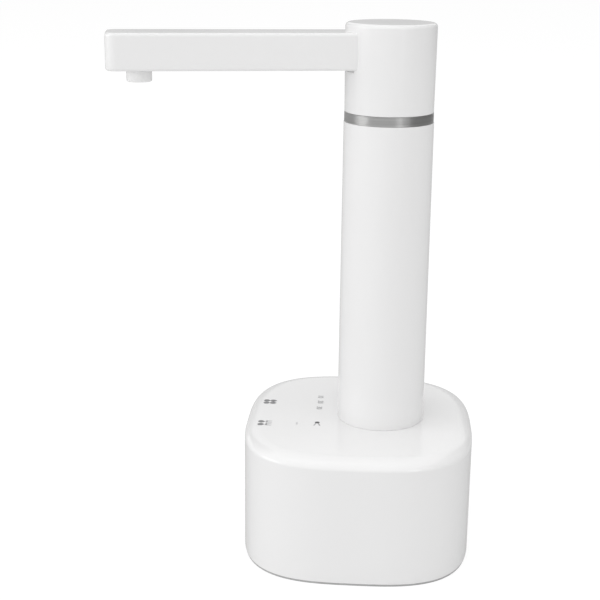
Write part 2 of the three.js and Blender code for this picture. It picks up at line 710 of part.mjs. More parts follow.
/** Involute gear seen along its shaft, with a tooth on +X, thinned so that meshed teeth keep a gap. */
function gearShape() {
  const involute = (angle) => Math.tan(angle) - angle;
  const baseRadius = gearPitchRadius * Math.cos(PRESSURE_ANGLE);
  const rootRadius = gearPitchRadius - GEAR_MODULE * DEDENDUM_SHARE;
  const toothAngle = (HALF_TURN * GEAR_MODULE / 2 - CLEARANCE) / (2 * gearPitchRadius);
  const flank = [[rootRadius, toothAngle + involute(PRESSURE_ANGLE)]];
  for (let step = 0; step <= FLANK_STEPS; step++) {
    const radius = baseRadius + (step / FLANK_STEPS) * (gearTipRadius - baseRadius);
    const opening = Math.acos(Math.min(baseRadius / radius, 1));
    flank.push([radius, toothAngle + involute(PRESSURE_ANGLE) - involute(opening)]);
  }
  const outline = [];
  for (let tooth = 0; tooth < GEAR_TEETH; tooth++) {
    const middle = (tooth / GEAR_TEETH) * FULL_TURN;
    const place = ([radius, angle], side) =>
      new THREE.Vector2().setX(radius).rotateAround(new THREE.Vector2(), middle + side * angle);
    outline.push(...flank.map((point) => place(point, -1)));
    outline.push(...flank.toReversed().map((point) => place(point, 1)));
  }
  return new THREE.Shape(outline);
}

function gear() {
  const half = GEAR_WIDTH / 2;
  const bore = disc(SHAFT_RADIUS + CLEARANCE, -half - OVERRUN, half + OVERRUN);
  return cut(prism(gearShape(), -half, half), bore);
}

/** The two overlapping rounds that the gears turn in. */
function chamber(bottom, top) {
  const rounds = [-gearPitchRadius, gearPitchRadius].map((x) =>
    disc(chamberRadius, bottom, top, INNER_SIDES).translate(x, 0, 0),
  );
  return join(...rounds);
}

const pumpOutline = () => roundedRectangle(2 * pumpHalfLength, 2 * pumpHalfHeight, PUMP_CORNER_RADIUS);
const pumpScrewPlaces = [[1, 1], [1, -1], [-1, 1], [-1, -1]].map(
  ([along, across]) => new THREE.Vector2(along * pumpScrewX, across * pumpScrewY),
);

function pumpScrewHoles(bottom, top) {
  return pumpScrewPlaces.map(({ x, y }) => pilotHole(SHORT_SCREW, bottom, top).translate(x, y, 0));
}

/** The pump's body: gear chamber, two ports, the shaft's seal pocket and a collar for the motor. */
function pumpBody() {
  const solid = prism(pumpOutline(), pumpFace, pumpBack);
  const lowerPort = hoseBarb().rotateX(-QUARTER_TURN).translate(0, pumpHalfHeight, 0);
  const upperPort = hoseBarb().rotateX(QUARTER_TURN).translate(0, -pumpHalfHeight, 0);
  const collarBore = MOTOR_RADIUS + CLEARANCE;
  const collar = ring(
    collarBore,
    collarBore + COLLAR_WALL,
    pumpBack - OVERRUN,
    pumpBack + COLLAR_DEPTH,
    INNER_SIDES,
  ).translate(gearPitchRadius, 0, 0);
  const portReach = pumpHalfHeight + BARB_LENGTH + OVERRUN;
  const portBore = disc(BARB_BORE_RADIUS, -portReach, portReach).rotateX(QUARTER_TURN);
  const nosePocket = pumpBack - MOTOR_NOSE_LENGTH - CLEARANCE;
  const sealPocket = nosePocket - SHAFT_SEAL_WIDTH - CLEARANCE;
  const shaftHoles = join(
    disc(SHAFT_RADIUS + CLEARANCE, chamberBack - OVERRUN, pumpBack),
    disc(SHAFT_SEAL_RADIUS + CLEARANCE, sealPocket, pumpBack + OVERRUN),
  ).translate(gearPitchRadius, 0, 0);
  const idlerHole = disc(SHAFT_RADIUS + CLEARANCE, chamberBack - OVERRUN, chamberBack + SHAFT_RECESS)
    .translate(-gearPitchRadius, 0, 0);
  return cut(
    join(solid, lowerPort, upperPort, collar),
    chamber(pumpFace - OVERRUN, chamberBack),
    portBore,
    shaftHoles,
    idlerHole,
    ...pumpScrewHoles(pumpFace - OVERRUN, pumpFace + SHORT_SCREW.length),
  );
}

function pumpGasket() {
  const [low, high] = [coverInside, pumpFace];
  return cut(
    prism(pumpOutline(), low, high),
    chamber(low - OVERRUN, high + OVERRUN),
    ...pumpScrewHoles(low - OVERRUN, high + OVERRUN),
  );
}

/** The front plate, with a blind hole for the end of each axle. */
function pumpCover() {
  const outside = pumpCoverFace;
  const recesses = [-gearPitchRadius, gearPitchRadius].map((x) =>
    disc(SHAFT_RADIUS + CLEARANCE, coverInside - SHAFT_RECESS, coverInside + OVERRUN).translate(x, 0, 0),
  );
  return cut(
    prism(pumpOutline(), outside, coverInside),
    ...recesses,
    ...pumpScrewHoles(outside - OVERRUN, coverInside + OVERRUN),
  );
}

function driveShaft() {
  return disc(
    SHAFT_RADIUS,
    coverInside - SHAFT_RECESS + CLEARANCE,
    pumpBack - MOTOR_NOSE_LENGTH + MOTOR_BORE_DEPTH - CLEARANCE,
    SCREW_SIDES,
  );
}

function idlerPin() {
  const end = chamberBack + SHAFT_RECESS - CLEARANCE;
  return disc(SHAFT_RADIUS, -end, end, SCREW_SIDES);
}

function shaftSeal() {
  const back = pumpBack - MOTOR_NOSE_LENGTH - CLEARANCE;
  return ring(SHAFT_RADIUS + CLEARANCE, SHAFT_SEAL_RADIUS, back - SHAFT_SEAL_WIDTH, back);
}

function motorCan() {
  const nose = pumpBack - MOTOR_NOSE_LENGTH;
  const bore = SHAFT_RADIUS + CLEARANCE;
  return revolve([
    [0, nose + MOTOR_BORE_DEPTH],
    [bore, nose + MOTOR_BORE_DEPTH],
    [bore, nose],
    [MOTOR_NOSE_RADIUS, nose],
    [MOTOR_NOSE_RADIUS, pumpBack],
    [MOTOR_RADIUS - MOTOR_EDGE_ROUND, pumpBack],
    [MOTOR_RADIUS, pumpBack + MOTOR_EDGE_ROUND],
    [MOTOR_RADIUS, motorBack - MOTOR_EDGE_ROUND],
    [MOTOR_RADIUS - MOTOR_EDGE_ROUND, motorBack],
    [0, motorBack],
  ], INNER_SIDES);
}

/** The motor's plastic rear cap with its shaft boss and two soldering tabs. */
function motorCap() {
  const capBack = motorBack + MOTOR_CAP_LENGTH;
  const cap = disc(MOTOR_CAP_RADIUS, motorBack, capBack, INNER_SIDES);
  const boss = disc(MOTOR_BOSS_RADIUS, capBack - OVERRUN, capBack + MOTOR_NOSE_LENGTH);
  const tabX = (MOTOR_CAP_RADIUS + MOTOR_BOSS_RADIUS) / 2;
  const tabs = [-tabX, tabX].map((x) =>
    block(
      [x - TERMINAL_THICKNESS / 2, x + TERMINAL_THICKNESS / 2],
      [-TERMINAL_WIDTH / 2, TERMINAL_WIDTH / 2],
      [capBack - OVERRUN, capBack + TERMINAL_LENGTH],
    ),
  );
  return join(cap, boss, ...tabs);
}

const bandBore = MOTOR_RADIUS + CLEARANCE;
const bandRadius = bandBore + STRAP_THICKNESS;
const saddleHalf = bandRadius + SADDLE_EAR;
const strapScrewX = bandRadius + SADDLE_EAR / 2;
const saddleFront = pumpBack + SADDLE_SETBACK;

/** The block under the motor, from the bottom cover up to the motor's axis. */
function motorSaddle() {
  const body = block(
    [-saddleHalf, saddleHalf],
    [0, PUMP_AXIS_HEIGHT - coverTop],
    [saddleFront, saddleFront + SADDLE_LENGTH],
  );
  const seat = disc(bandBore, saddleFront - OVERRUN, saddleFront + SADDLE_LENGTH + OVERRUN, INNER_SIDES);
  const middle = saddleFront + SADDLE_LENGTH / 2;
  const holes = [-strapScrewX, strapScrewX].map((x) =>
    pilotHole(SCREW, -SCREW.length, OVERRUN).rotateX(QUARTER_TURN).translate(x, 0, middle),
  );
  return cut(body, seat, ...holes);
}

/** The band over the motor with a flat ear on each side. */
function motorStrap() {
  const band = halfBand(bandBore, bandRadius, SADDLE_LENGTH);
  const middle = SADDLE_LENGTH / 2;
  const ears = [-1, 1].map((side) => {
    const [near, far] = [side * (bandBore + CLEARANCE), side * saddleHalf];
    return block([Math.min(near, far), Math.max(near, far)], [-STRAP_THICKNESS, 0], [0, SADDLE_LENGTH]);
  });
  const holes = [-strapScrewX, strapScrewX].map((x) =>
    pilotHole(SCREW, -OVERRUN, STRAP_THICKNESS + OVERRUN).rotateX(QUARTER_TURN).translate(x, 0, middle),
  );
  return cut(join(band, ...ears), ...holes).translate(0, 0, saddleFront);
}

// Column, from the base's top face up

/** The tube that carries the head: a shoulder stands on the base and a spigot goes through its roof. */
function columnTube() {
  const spigotFoot = -BASE_ROOF - GASKET_THICKNESS - NUT_HEIGHT - CLEARANCE;
  const corner = [SPIGOT_RADIUS - SPIGOT_WALL, spigotFoot];
  return revolve([
    corner,
    [SPIGOT_RADIUS, spigotFoot],
    [SPIGOT_RADIUS, 0],
    [COLUMN_RADIUS - SEAM_CHAMFER, 0],
    [COLUMN_RADIUS, SEAM_CHAMFER],
    [COLUMN_RADIUS, COLUMN_HEIGHT],
    [columnBore, COLUMN_HEIGHT],
    [columnBore, COLUMN_FLOOR],
    [SPIGOT_RADIUS - SPIGOT_WALL, COLUMN_FLOOR],
    corner,
  ], ROUND_SIDES);
}

function columnGasket() {
  return ring(
    SPIGOT_RADIUS + CLEARANCE,
    NUT_RADIUS,
    -BASE_ROOF - GASKET_THICKNESS,
    -BASE_ROOF,
    INNER_SIDES,
  );
}

/** The ring nut inside the base, with notches for its spanner. */
function columnNut() {
  const top = -BASE_ROOF - GASKET_THICKNESS;
  const foot = top - NUT_HEIGHT;
  const halfNotch = NUT_NOTCH_WIDTH / 2;
  const notches = Array.from({ length: NUT_NOTCHES }, (_, i) =>
    block(
      [NUT_RADIUS - NUT_NOTCH_DEPTH, NUT_RADIUS + OVERRUN],
      [-halfNotch, halfNotch],
      [foot - OVERRUN, top - NUT_HEIGHT / 2],
    ).rotateZ((i / NUT_NOTCHES) * FULL_TURN),
  );
  return cut(ring(SPIGOT_RADIUS + CLEARANCE, NUT_RADIUS, foot, top, INNER_SIDES), ...notches);
}

/** The straight tube from the pump's upper port to the pin in the swivel. */
function riserTube() {
  const foot = PUMP_AXIS_HEIGHT + pumpHalfHeight + CLEARANCE;
  const top = columnTop + stemFoot - CLEARANCE;
  const path = new THREE.LineCurve3(new THREE.Vector3(0, 0, foot), new THREE.Vector3(0, 0, top));
  return hose(path, 1);
}

// Swivel, from the column's top up

const neckBore = PIN_STEM_RADIUS + CLEARANCE;
const neckFloorFoot = RING_HEIGHT - NECK_FLOOR;
const stemFoot = neckFloorFoot - OVERRUN;

/** A plug in the column's top: a flange on the column, and a neck that the head turns on. */
function swivelNeck() {
  const corner = [plugRadius - NECK_WALL, -NECK_PLUG_DEPTH];
  const grooveTop = clipFoot + CLIP_THICKNESS + CLEARANCE;
  return revolve([
    corner,
    [plugRadius, -NECK_PLUG_DEPTH],
    [plugRadius, 0],
    [neckFlangeRadius, 0],
    [neckFlangeRadius, NECK_FLANGE_HEIGHT],
    [plugRadius, NECK_FLANGE_HEIGHT],
    [plugRadius, RING_HEIGHT],
    [NECK_RADIUS, RING_HEIGHT],
    [NECK_RADIUS, clipFoot - CLEARANCE],
    [NECK_RADIUS - CLIP_GROOVE_DEPTH, clipFoot - CLEARANCE],
    [NECK_RADIUS - CLIP_GROOVE_DEPTH, grooveTop],
    [NECK_RADIUS, grooveTop],
    [NECK_RADIUS, neckTop],
    [neckBore, neckTop],
    [neckBore, neckFloorFoot],
    [plugRadius - NECK_WALL, neckFloorFoot],
    corner,
  ], INNER_SIDES);
}

/** The metal ring: its lip stands on the column and it sits round the neck's flange. */
function trimRing() {
  const lipBore = RING_RADIUS - RING_LIP;
  const lipTop = NECK_FLANGE_HEIGHT + CLEARANCE;
  const corner = [lipBore, 0];
  return revolve([
    corner,
    [RING_RADIUS, 0],
    [RING_RADIUS, RING_HEIGHT],
    [ringBore, RING_HEIGHT],
    [ringBore, lipTop],
    [lipBore, lipTop],
    corner,
  ], ROUND_SIDES);
}

function thrustWasher() {
  return ring(NECK_RADIUS + CLEARANCE, plugRadius, RING_HEIGHT, collarFoot, INNER_SIDES);
}

function swivelCollar() {
  return ring(NECK_RADIUS + CLEARANCE, headBore - CLEARANCE, collarFoot, collarTop, INNER_SIDES);
}

/** A snap ring with a gap, seated in the neck's groove over the collar. */
function retainingClip() {
  const inner = NECK_RADIUS - CLIP_GROOVE_DEPTH + CLEARANCE;
  const outer = inner + CLIP_WIDTH;
  const halfGap = outer * Math.sin(CLIP_GAP_ANGLE / 2);
  const clipTop = clipFoot + CLIP_THICKNESS;
  const gap = block([0, outer + OVERRUN], [-halfGap, halfGap], [clipFoot - OVERRUN, clipTop + OVERRUN]);
  return cut(ring(inner, outer, clipFoot, clipTop, INNER_SIDES), gap);
}

const sealPlaces = Array.from(
  { length: PIN_SEALS },
  (_, i) => pinFoot + ((i + 1) / (PIN_SEALS + 1)) * PIN_HEIGHT,
);

/** The hollow pin that stays still: a hose end below, a flange on the neck and two seal grooves above. */
function waterPin() {
  const profile = [
    [0, stemFoot],
    [PIN_STEM_RADIUS, stemFoot],
    [PIN_STEM_RADIUS, neckTop],
    [PIN_FLANGE_RADIUS, neckTop],
    [PIN_FLANGE_RADIUS, pinFoot],
    [PIN_RADIUS, pinFoot],
  ];
  for (const middle of sealPlaces) {
    profile.push([PIN_RADIUS, middle - SEAL_WIDTH / 2 - CLEARANCE]);
    profile.push([PIN_RADIUS - SEAL_DEPTH, middle - SEAL_WIDTH / 2 - CLEARANCE]);
    profile.push([PIN_RADIUS - SEAL_DEPTH, middle + SEAL_WIDTH / 2 + CLEARANCE]);
    profile.push([PIN_RADIUS, middle + SEAL_WIDTH / 2 + CLEARANCE]);
  }
  profile.push([PIN_RADIUS, pinTop], [0, pinTop]);
  const barb = hoseBarb().rotateX(HALF_TURN).translate(0, 0, stemFoot);
  const bore = disc(BARB_BORE_RADIUS, stemFoot - BARB_LENGTH - OVERRUN, pinTop + OVERRUN);
  return cut(join(revolve(profile), barb), bore);
}

/** A rubber ring in one of the pin's grooves. */
function pinSeal() {
  const inner = PIN_RADIUS - SEAL_DEPTH + CLEARANCE;
  const outer = PIN_RADIUS + CLEARANCE / 2;
  const middle = (inner + outer) / 2;
  const half = SEAL_WIDTH / 2;
  return revolve([[middle, -half], [outer, 0], [middle, half], [inner, 0], [middle, -half]]);
}

// Turning head, from the column's top up

/** The head's outer radius at a height: it widens a little towards the top, as moulded pieces do. */
function headRadius(height) {
  const share = (height - headFoot) / HEAD_HEIGHT;
  return HEAD_FOOT_RADIUS + share * (HEAD_TOP_RADIUS - HEAD_FOOT_RADIUS);
}

/** The arm seen from above, drawn in by an inset, from the column's axis to its rounded end. */
function armOutline(inset, height, root = 0) {
  const half = ARM_WIDTH / 2 - inset;
  const corner = ARM_CORNER_RADIUS - inset;
  const centreX = ARM_CORNER_RADIUS - ARM_REACH;
  const centreY = half - corner;
  const points = [new THREE.Vector3(root, half, height)];
  for (const [side, start] of [[1, QUARTER_TURN], [-1, HALF_TURN]]) {
    for (let step = 0; step <= CORNER_STEPS; step++) {
      const turn = start + (step / CORNER_STEPS) * QUARTER_TURN;
      const x = centreX + corner * Math.cos(turn);
      points.push(new THREE.Vector3(x, side * centreY + corner * Math.sin(turn), height));
    }
  }
  points.push(new THREE.Vector3(root, -half, height));
  return points;
}

const spoutCoverInset = ARM_WALL + CLEARANCE;
const spoutCoverTop = armFoot + SPOUT_COVER_THICKNESS;
const coverRootRadius = headRadius(spoutCoverTop) + CLEARANCE;
const spoutScrewPlaces = [
  new THREE.Vector2(-2 * HEAD_TOP_RADIUS, 1),
  new THREE.Vector2(2 * NOZZLE_FLANGE_RADIUS - nozzleReach - ARM_WALL, -1),
].map(({ x, y }) => new THREE.Vector2(x, y * (tubeRadius + CLEARANCE + FINE_BOSS_RADIUS)));

/** The hollow of the arm, open underneath, but the head's own wall stays whole below the cover's top. */
function armHollow() {
  const heights = [armFoot - OVERRUN, armTop - ARM_WALL];
  const whole = loft(heights.map((height) => armOutline(ARM_WALL, height)));
  return cut(whole, disc(HEAD_FOOT_RADIUS - CLEARANCE, armFoot - 2 * OVERRUN, spoutCoverTop, ROUND_SIDES));
}

/** One moulding: the round head, open below, with the hollow spout arm. */
function headShell() {
  const drum = revolve([
    [0, headFoot],
    [HEAD_FOOT_RADIUS - SEAM_CHAMFER, headFoot],
    [headRadius(headFoot + SEAM_CHAMFER), headFoot + SEAM_CHAMFER],
    ...edgeLevels(headTop, HEAD_EDGE_ROUND).map(([inset, height]) => [headRadius(height) - inset, height]),
    [0, headTop],
  ], ROUND_SIDES);
  const armLevels = [...footLevels(armFoot, ARM_FOOT_ROUND), ...edgeLevels(armTop, ARM_EDGE_ROUND)];
  const arm = loft(armLevels.map(([inset, height]) => armOutline(inset, height)));
  const bore = revolve([
    [0, headFoot - OVERRUN],
    [headBore, headFoot - OVERRUN],
    [headBore, collarTop],
    [headBore - HEAD_LEDGE, collarTop],
    [headBore - HEAD_LEDGE, headCeiling],
    [0, headCeiling],
  ], ROUND_SIDES);
  const hollow = cut(join(drum, arm), bore, armHollow());
  const bosses = spoutScrewPlaces.map(({ x, y }) => {
    const boss = disc(FINE_BOSS_RADIUS, spoutCoverTop, armTop - ARM_WALL + ARM_EDGE_ROUND);
    return cut(boss, pilotHole(FINE_SCREW, spoutCoverTop - OVERRUN, armTop - ARM_WALL)).translate(x, y, 0);
  });
  return join(hollow, ...bosses);
}

/** The plate under the arm, with holes for the nozzle and two sunk screws. */
function spoutCover() {
  const plate = loft([armFoot, spoutCoverTop].map((height) => armOutline(spoutCoverInset, height)));
  const head = disc(coverRootRadius, armFoot - OVERRUN, spoutCoverTop + OVERRUN, ROUND_SIDES);
  const nozzleHole = disc(NOZZLE_RADIUS + CLEARANCE, armFoot - OVERRUN, spoutCoverTop + OVERRUN);
  const screwHoles = spoutScrewPlaces.map(({ x, y }) =>
    sunkHole(FINE_SCREW, armFoot, spoutCoverTop).translate(x, y, 0),
  );
  return cut(plate, head, nozzleHole.translate(-nozzleReach, 0, 0), ...screwHoles);
}

/** A spout cover screw, driven upwards from its sunk seat. */
function spoutScrew() {
  return screw(FINE_SCREW).rotateX(HALF_TURN).translate(0, 0, armFoot + FINE_SCREW.headHeight);
}

/** The turning elbow on the pin: a cup over the seals and a hose end along the arm. */
function swivelElbow() {
  const bore = PIN_RADIUS + CLEARANCE;
  const foot = pinFoot + CLEARANCE;
  const top = armMiddle + BARB_CREST_RADIUS + ELBOW_WALL;
  const cup = disc(bore + ELBOW_WALL, foot, top, INNER_SIDES);
  const barbRoot = bore + ELBOW_WALL - OVERRUN;
  const neck = disc(BARB_CREST_RADIUS, barbRoot, ELBOW_BARB_REACH);
  const barb = hoseBarb().translate(0, 0, ELBOW_BARB_REACH);
  const channel = disc(BARB_BORE_RADIUS, 0, ELBOW_BARB_REACH + BARB_LENGTH + OVERRUN);
  const [along, through] = [join(neck, barb), channel].map((shape) =>
    shape.rotateY(-QUARTER_TURN).translate(0, 0, armMiddle),
  );
  const socket = disc(bore, foot - OVERRUN, pinTop + CLEARANCE, INNER_SIDES);
  const well = disc(BARB_CREST_RADIUS, foot, armMiddle + BARB_CORE_RADIUS);
  return cut(join(cup, along), socket, well, through);
}

/** The straight tube along the arm, from the elbow to the nozzle. */
function spoutTube() {
  const start = -ELBOW_BARB_REACH - CLEARANCE;
  const end = nozzleBarrelRadius + CLEARANCE - nozzleReach;
  const points = [start, end].map((x) => new THREE.Vector3(x, 0, armMiddle));
  return hose(new THREE.LineCurve3(...points), 1);
}

const nozzleBarrelRadius = NOZZLE_RADIUS - CLEARANCE;

/** The nozzle: a round mouth below the arm, a flange on the cover and a hose end inside the arm. */
function nozzle() {
  const mouth = armFoot - NOZZLE_DROP;
  const top = armMiddle + BARB_CREST_RADIUS + ARM_EDGE_ROUND;
  const flangeTop = spoutCoverTop + NOZZLE_FLANGE_HEIGHT;
  const body = revolve([
    [0, mouth],
    ...footLevels(mouth, NOZZLE_EDGE_ROUND).map(([inset, height]) => [NOZZLE_RADIUS - inset, height]),
    [NOZZLE_RADIUS, spoutCoverTop],
    [NOZZLE_FLANGE_RADIUS, spoutCoverTop],
    [NOZZLE_FLANGE_RADIUS, flangeTop],
    [nozzleBarrelRadius, flangeTop],
    [nozzleBarrelRadius, top],
    [0, top],
  ], INNER_SIDES);
  const barbRoot = nozzleBarrelRadius - CLEARANCE;
  const barb = hoseBarb().translate(0, 0, barbRoot);
  const channel = disc(BARB_BORE_RADIUS, 0, barbRoot + BARB_LENGTH + OVERRUN);
  const [along, through] = [barb, channel].map((shape) =>
    shape.rotateY(QUARTER_TURN).translate(0, 0, armMiddle),
  );
  const mouthBore = disc(NOZZLE_MOUTH_RADIUS, mouth - OVERRUN, mouth + NOZZLE_MOUTH_DEPTH);
  const well = disc(BARB_CORE_RADIUS, mouth, armMiddle + BARB_CORE_RADIUS);
  return cut(join(body, along), mouthBore, well, through).translate(-nozzleReach, 0, 0);
}

/** A ring with crossed fins that calms the water in the nozzle's mouth. */
function flowStraightener() {
  const outer = NOZZLE_MOUTH_RADIUS - CLEARANCE;
  const inner = outer - STRAIGHTENER_WALL;
  const halfFin = STRAIGHTENER_WALL / 2;
  const reach = inner + halfFin;
  const fins = [0, QUARTER_TURN].map((turn) =>
    block([-reach, reach], [-halfFin, halfFin], [0, STRAIGHTENER_HEIGHT]).rotateZ(turn),
  );
  const foot = armFoot - NOZZLE_DROP + NOZZLE_MOUTH_DEPTH - STRAIGHTENER_HEIGHT - CLEARANCE;
  return join(ring(inner, outer, 0, STRAIGHTENER_HEIGHT), ...fins).translate(-nozzleReach, 0, foot);
}

// Finishes and assembly

const FINISHES = {
  glossWhite: { color: 0xf1f1ef, roughness: 0.25, metalness: 0 },
  innerWhite: { color: 0xe6e6e2, roughness: 0.5, metalness: 0 },
  padRubber: { color: 0x9a9a98, roughness: 0.85, metalness: 0 },
  blackRubber: { color: 0x2b2b2d, roughness: 0.8, metalness: 0 },
  silicone: { color: 0xdfe4e4, roughness: 0.35, metalness: 0 },
  darkSteel: { color: 0x8b8b8d, roughness: 0.22, metalness: 1 },
  steel: { color: 0xc4c6c9, roughness: 0.3, metalness: 1 },
  pumpNylon: { color: 0x3a3c40, roughness: 0.55, metalness: 0 },
  gearResin: { color: 0xe9dfc2, roughness: 0.4, metalness: 0 },
  clearGuide: { color: 0xdbe9ee, roughness: 0.1, metalness: 0 },
  cellWrap: { color: 0x3f78b5, roughness: 0.45, metalness: 0 },
  boardGreen: { color: 0x1f6a45, roughness: 0.5, metalness: 0 },
  foam: { color: 0x4b4b4e, roughness: 0.95, metalness: 0 },
};

function piece(name, finish, geometry, place = new THREE.Vector3()) {
  const mesh = new THREE.Mesh(geometry, new THREE.MeshStandardMaterial(FINISHES[finish]));
  mesh.name = name;
  mesh.position.copy(place);
  return mesh;
}

/** One numbered piece at each place of a list. */
function pieces(name, finish, makeGeometry, places) {
  return places.map((place, i) => piece(`${name}_${i + 1}`, finish, makeGeometry(), place));
}

function group(children, place = new THREE.Vector3()) {
  const made = new THREE.Group().add(...children);
  made.position.copy(place);
  return made;
}

const raised = (places, height) => places.map(({ x, y }) => new THREE.Vector3(x, y, height));

const casing = group([
  piece("base_shell", "glossWhite", baseShell()),
  piece("base_pad", "padRubber", basePad()),
  piece("bottom_cover", "innerWhite", bottomCover()),
  ...pieces("cover_screw", "steel", coverScrew, raised(coverScrewPlaces, 0)),
]);

const inletPlace = new THREE.Vector3(rearFace, 0, inletHeight);
const rearFittings = group([
  piece("inlet_fitting", "innerWhite", inletFitting().rotateY(QUARTER_TURN), inletPlace),
  piece("inlet_seal", "blackRubber", inletSeal().rotateY(QUARTER_TURN), inletPlace),
  piece("inlet_tube", "silicone", inletTube()),
  piece("usb_socket", "steel", usbSocket().rotateY(QUARTER_TURN), new THREE.Vector3(usbBack, 0, usbHeight)),
  piece("usb_board", "boardGreen", usbBoard()),
]);

const cellPlace = new THREE.Vector3(cellX(), 0, cellHeight);
const power = group([
  piece("battery_cell", "cellWrap", batteryCell(), cellPlace),
  piece("battery_cradle", "innerWhite", batteryCradle(), cellPlace),
  piece("battery_strap", "innerWhite", batteryStrap(), cellPlace),
]);

const touchPad = () => disc(TOUCH_PAD_RADIUS, boardTop, roofUnderside);
const shortScrewUp = () => screw(SHORT_SCREW).rotateX(HALF_TURN);
const controls = group([
  piece("control_board", "boardGreen", controlBoard()),
  ...pieces("board_screw", "steel", shortScrewUp, raised(boardScrewPlaces, boardFoot)),
  piece("touch_pad_left", "foam", touchPad(), new THREE.Vector3(touchPadX, TOUCH_PAD_LEFT_Y, 0)),
  piece("touch_pad_right", "foam", touchPad(), new THREE.Vector3(touchPadX, TOUCH_PAD_RIGHT_Y, 0)),
  piece("light_guide", "clearGuide", lightGuide()),
]);

const driveAxis = new THREE.Vector3(gearPitchRadius, 0, 0);
const idlerAxis = new THREE.Vector3(-gearPitchRadius, 0, 0);
const pumpCoverFace = coverInside - PUMP_COVER_THICKNESS;
const strapScrewPlaces = [-strapScrewX, strapScrewX].map(
  (x) => new THREE.Vector3(gearPitchRadius + x, -STRAP_THICKNESS, saddleFront + SADDLE_LENGTH / 2),
);
const pump = group([
  piece("pump_body", "pumpNylon", pumpBody()),
  piece("pump_gasket", "blackRubber", pumpGasket()),
  piece("pump_cover", "pumpNylon", pumpCover()),
  ...pieces("pump_screw", "steel", shortScrewUp, raised(pumpScrewPlaces, pumpCoverFace)),
  piece("drive_gear", "gearResin", gear(), driveAxis),
  piece("drive_shaft", "steel", driveShaft(), driveAxis),
  piece("idler_gear", "gearResin", gear().rotateZ(HALF_TURN / GEAR_TEETH), idlerAxis),
  piece("idler_pin", "steel", idlerPin(), idlerAxis),
  piece("shaft_seal", "blackRubber", shaftSeal(), driveAxis),
  piece("motor_can", "steel", motorCan(), driveAxis),
  piece("motor_cap", "pumpNylon", motorCap(), driveAxis),
  piece("motor_saddle", "innerWhite", motorSaddle(), driveAxis),
  piece("motor_strap", "innerWhite", motorStrap(), driveAxis),
  ...pieces("strap_screw", "steel", () => screw(SCREW).rotateX(QUARTER_TURN), strapScrewPlaces),
], new THREE.Vector3(columnX, 0, PUMP_AXIS_HEIGHT));
pump.rotation.x = -QUARTER_TURN;

const column = group([
  piece("column_tube", "glossWhite", columnTube()),
  piece("column_gasket", "blackRubber", columnGasket()),
  piece("column_nut", "innerWhite", columnNut()),
], new THREE.Vector3(columnX, 0, BASE_HEIGHT));

const swivel = group([
  piece("swivel_neck", "innerWhite", swivelNeck()),
  piece("trim_ring", "darkSteel", trimRing()),
  piece("thrust_washer", "gearResin", thrustWasher()),
  piece("retaining_clip", "steel", retainingClip()),
  piece("water_pin", "pumpNylon", waterPin()),
  ...pieces("pin_seal", "blackRubber", pinSeal, sealPlaces.map((height) => new THREE.Vector3(0, 0, height))),
], new THREE.Vector3(columnX, 0, columnTop));

const head = group([
  piece("head_shell", "glossWhite", headShell()),
  piece("swivel_collar", "gearResin", swivelCollar()),
  piece("swivel_elbow", "pumpNylon", swivelElbow()),
  piece("spout_tube", "silicone", spoutTube()),
  piece("spout_cover", "glossWhite", spoutCover()),
  ...pieces("spout_screw", "steel", spoutScrew, raised(spoutScrewPlaces, 0)),
  piece("nozzle", "glossWhite", nozzle()),
  piece("flow_straightener", "innerWhite", flowStraightener()),
], new THREE.Vector3(columnX, 0, columnTop));
head.rotation.z = REST_SWIVEL;

const riser = group([piece("riser_tube", "silicone", riserTube())], new THREE.Vector3(columnX, 0, 0));

export default group([casing, rearFittings, power, controls, pump, column, swivel, riser, head]);
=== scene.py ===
"""A table-top pump for bottled water, dressed for its picture.

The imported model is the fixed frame. Sizes are in millimetres and meshes are made in metres.
Drawing, meshes, finishes and node trees come first, then the stage, and then the pump from
its base to its head, its screws and its inner pieces.
"""

import logging
import math
from dataclasses import dataclass, field
from enum import Enum
from functools import cached_property
from typing import Iterable, Sequence

import bmesh
import bpy
from mathutils import Matrix, Vector


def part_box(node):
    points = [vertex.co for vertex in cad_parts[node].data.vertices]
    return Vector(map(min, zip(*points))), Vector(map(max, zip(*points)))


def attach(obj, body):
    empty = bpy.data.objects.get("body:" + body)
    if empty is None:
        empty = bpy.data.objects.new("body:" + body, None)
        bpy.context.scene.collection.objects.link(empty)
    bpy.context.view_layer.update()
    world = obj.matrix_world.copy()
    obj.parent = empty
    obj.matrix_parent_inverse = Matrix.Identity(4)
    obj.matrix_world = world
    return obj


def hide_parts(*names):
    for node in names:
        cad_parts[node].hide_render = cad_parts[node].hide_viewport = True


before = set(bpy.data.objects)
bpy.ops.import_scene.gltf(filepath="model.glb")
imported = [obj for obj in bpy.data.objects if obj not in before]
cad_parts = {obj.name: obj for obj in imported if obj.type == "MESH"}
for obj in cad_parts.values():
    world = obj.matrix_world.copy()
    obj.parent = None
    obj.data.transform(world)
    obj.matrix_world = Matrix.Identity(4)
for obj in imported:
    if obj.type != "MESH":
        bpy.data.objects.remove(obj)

Colour = tuple[float, float, float]
Place = tuple[float, float, float]
Point = tuple[float, float]
Tone = tuple[float, float, float, float]
Stroke = tuple[Point, Point]
Owner = bpy.types.Material | bpy.types.World
Mesh = bpy.types.Mesh
Node = bpy.types.Node
NodeTree = bpy.types.NodeTree
Object = bpy.types.Object
Socket = bpy.types.NodeSocket

LOG = logging.getLogger("water_pump")
MM = 0.001
FULL_TURN = 2 * math.pi
QUARTER_TURN = math.pi / 2

# Points closer than this, in millimetres, become one.
MERGE = 0.002
# An inset well inside every wall, in millimetres: an open profile starts or ends there.
INSIDE = 20.0
# How far a tool reaches past what it cuts, in millimetres.
OVERRUN = 1.0

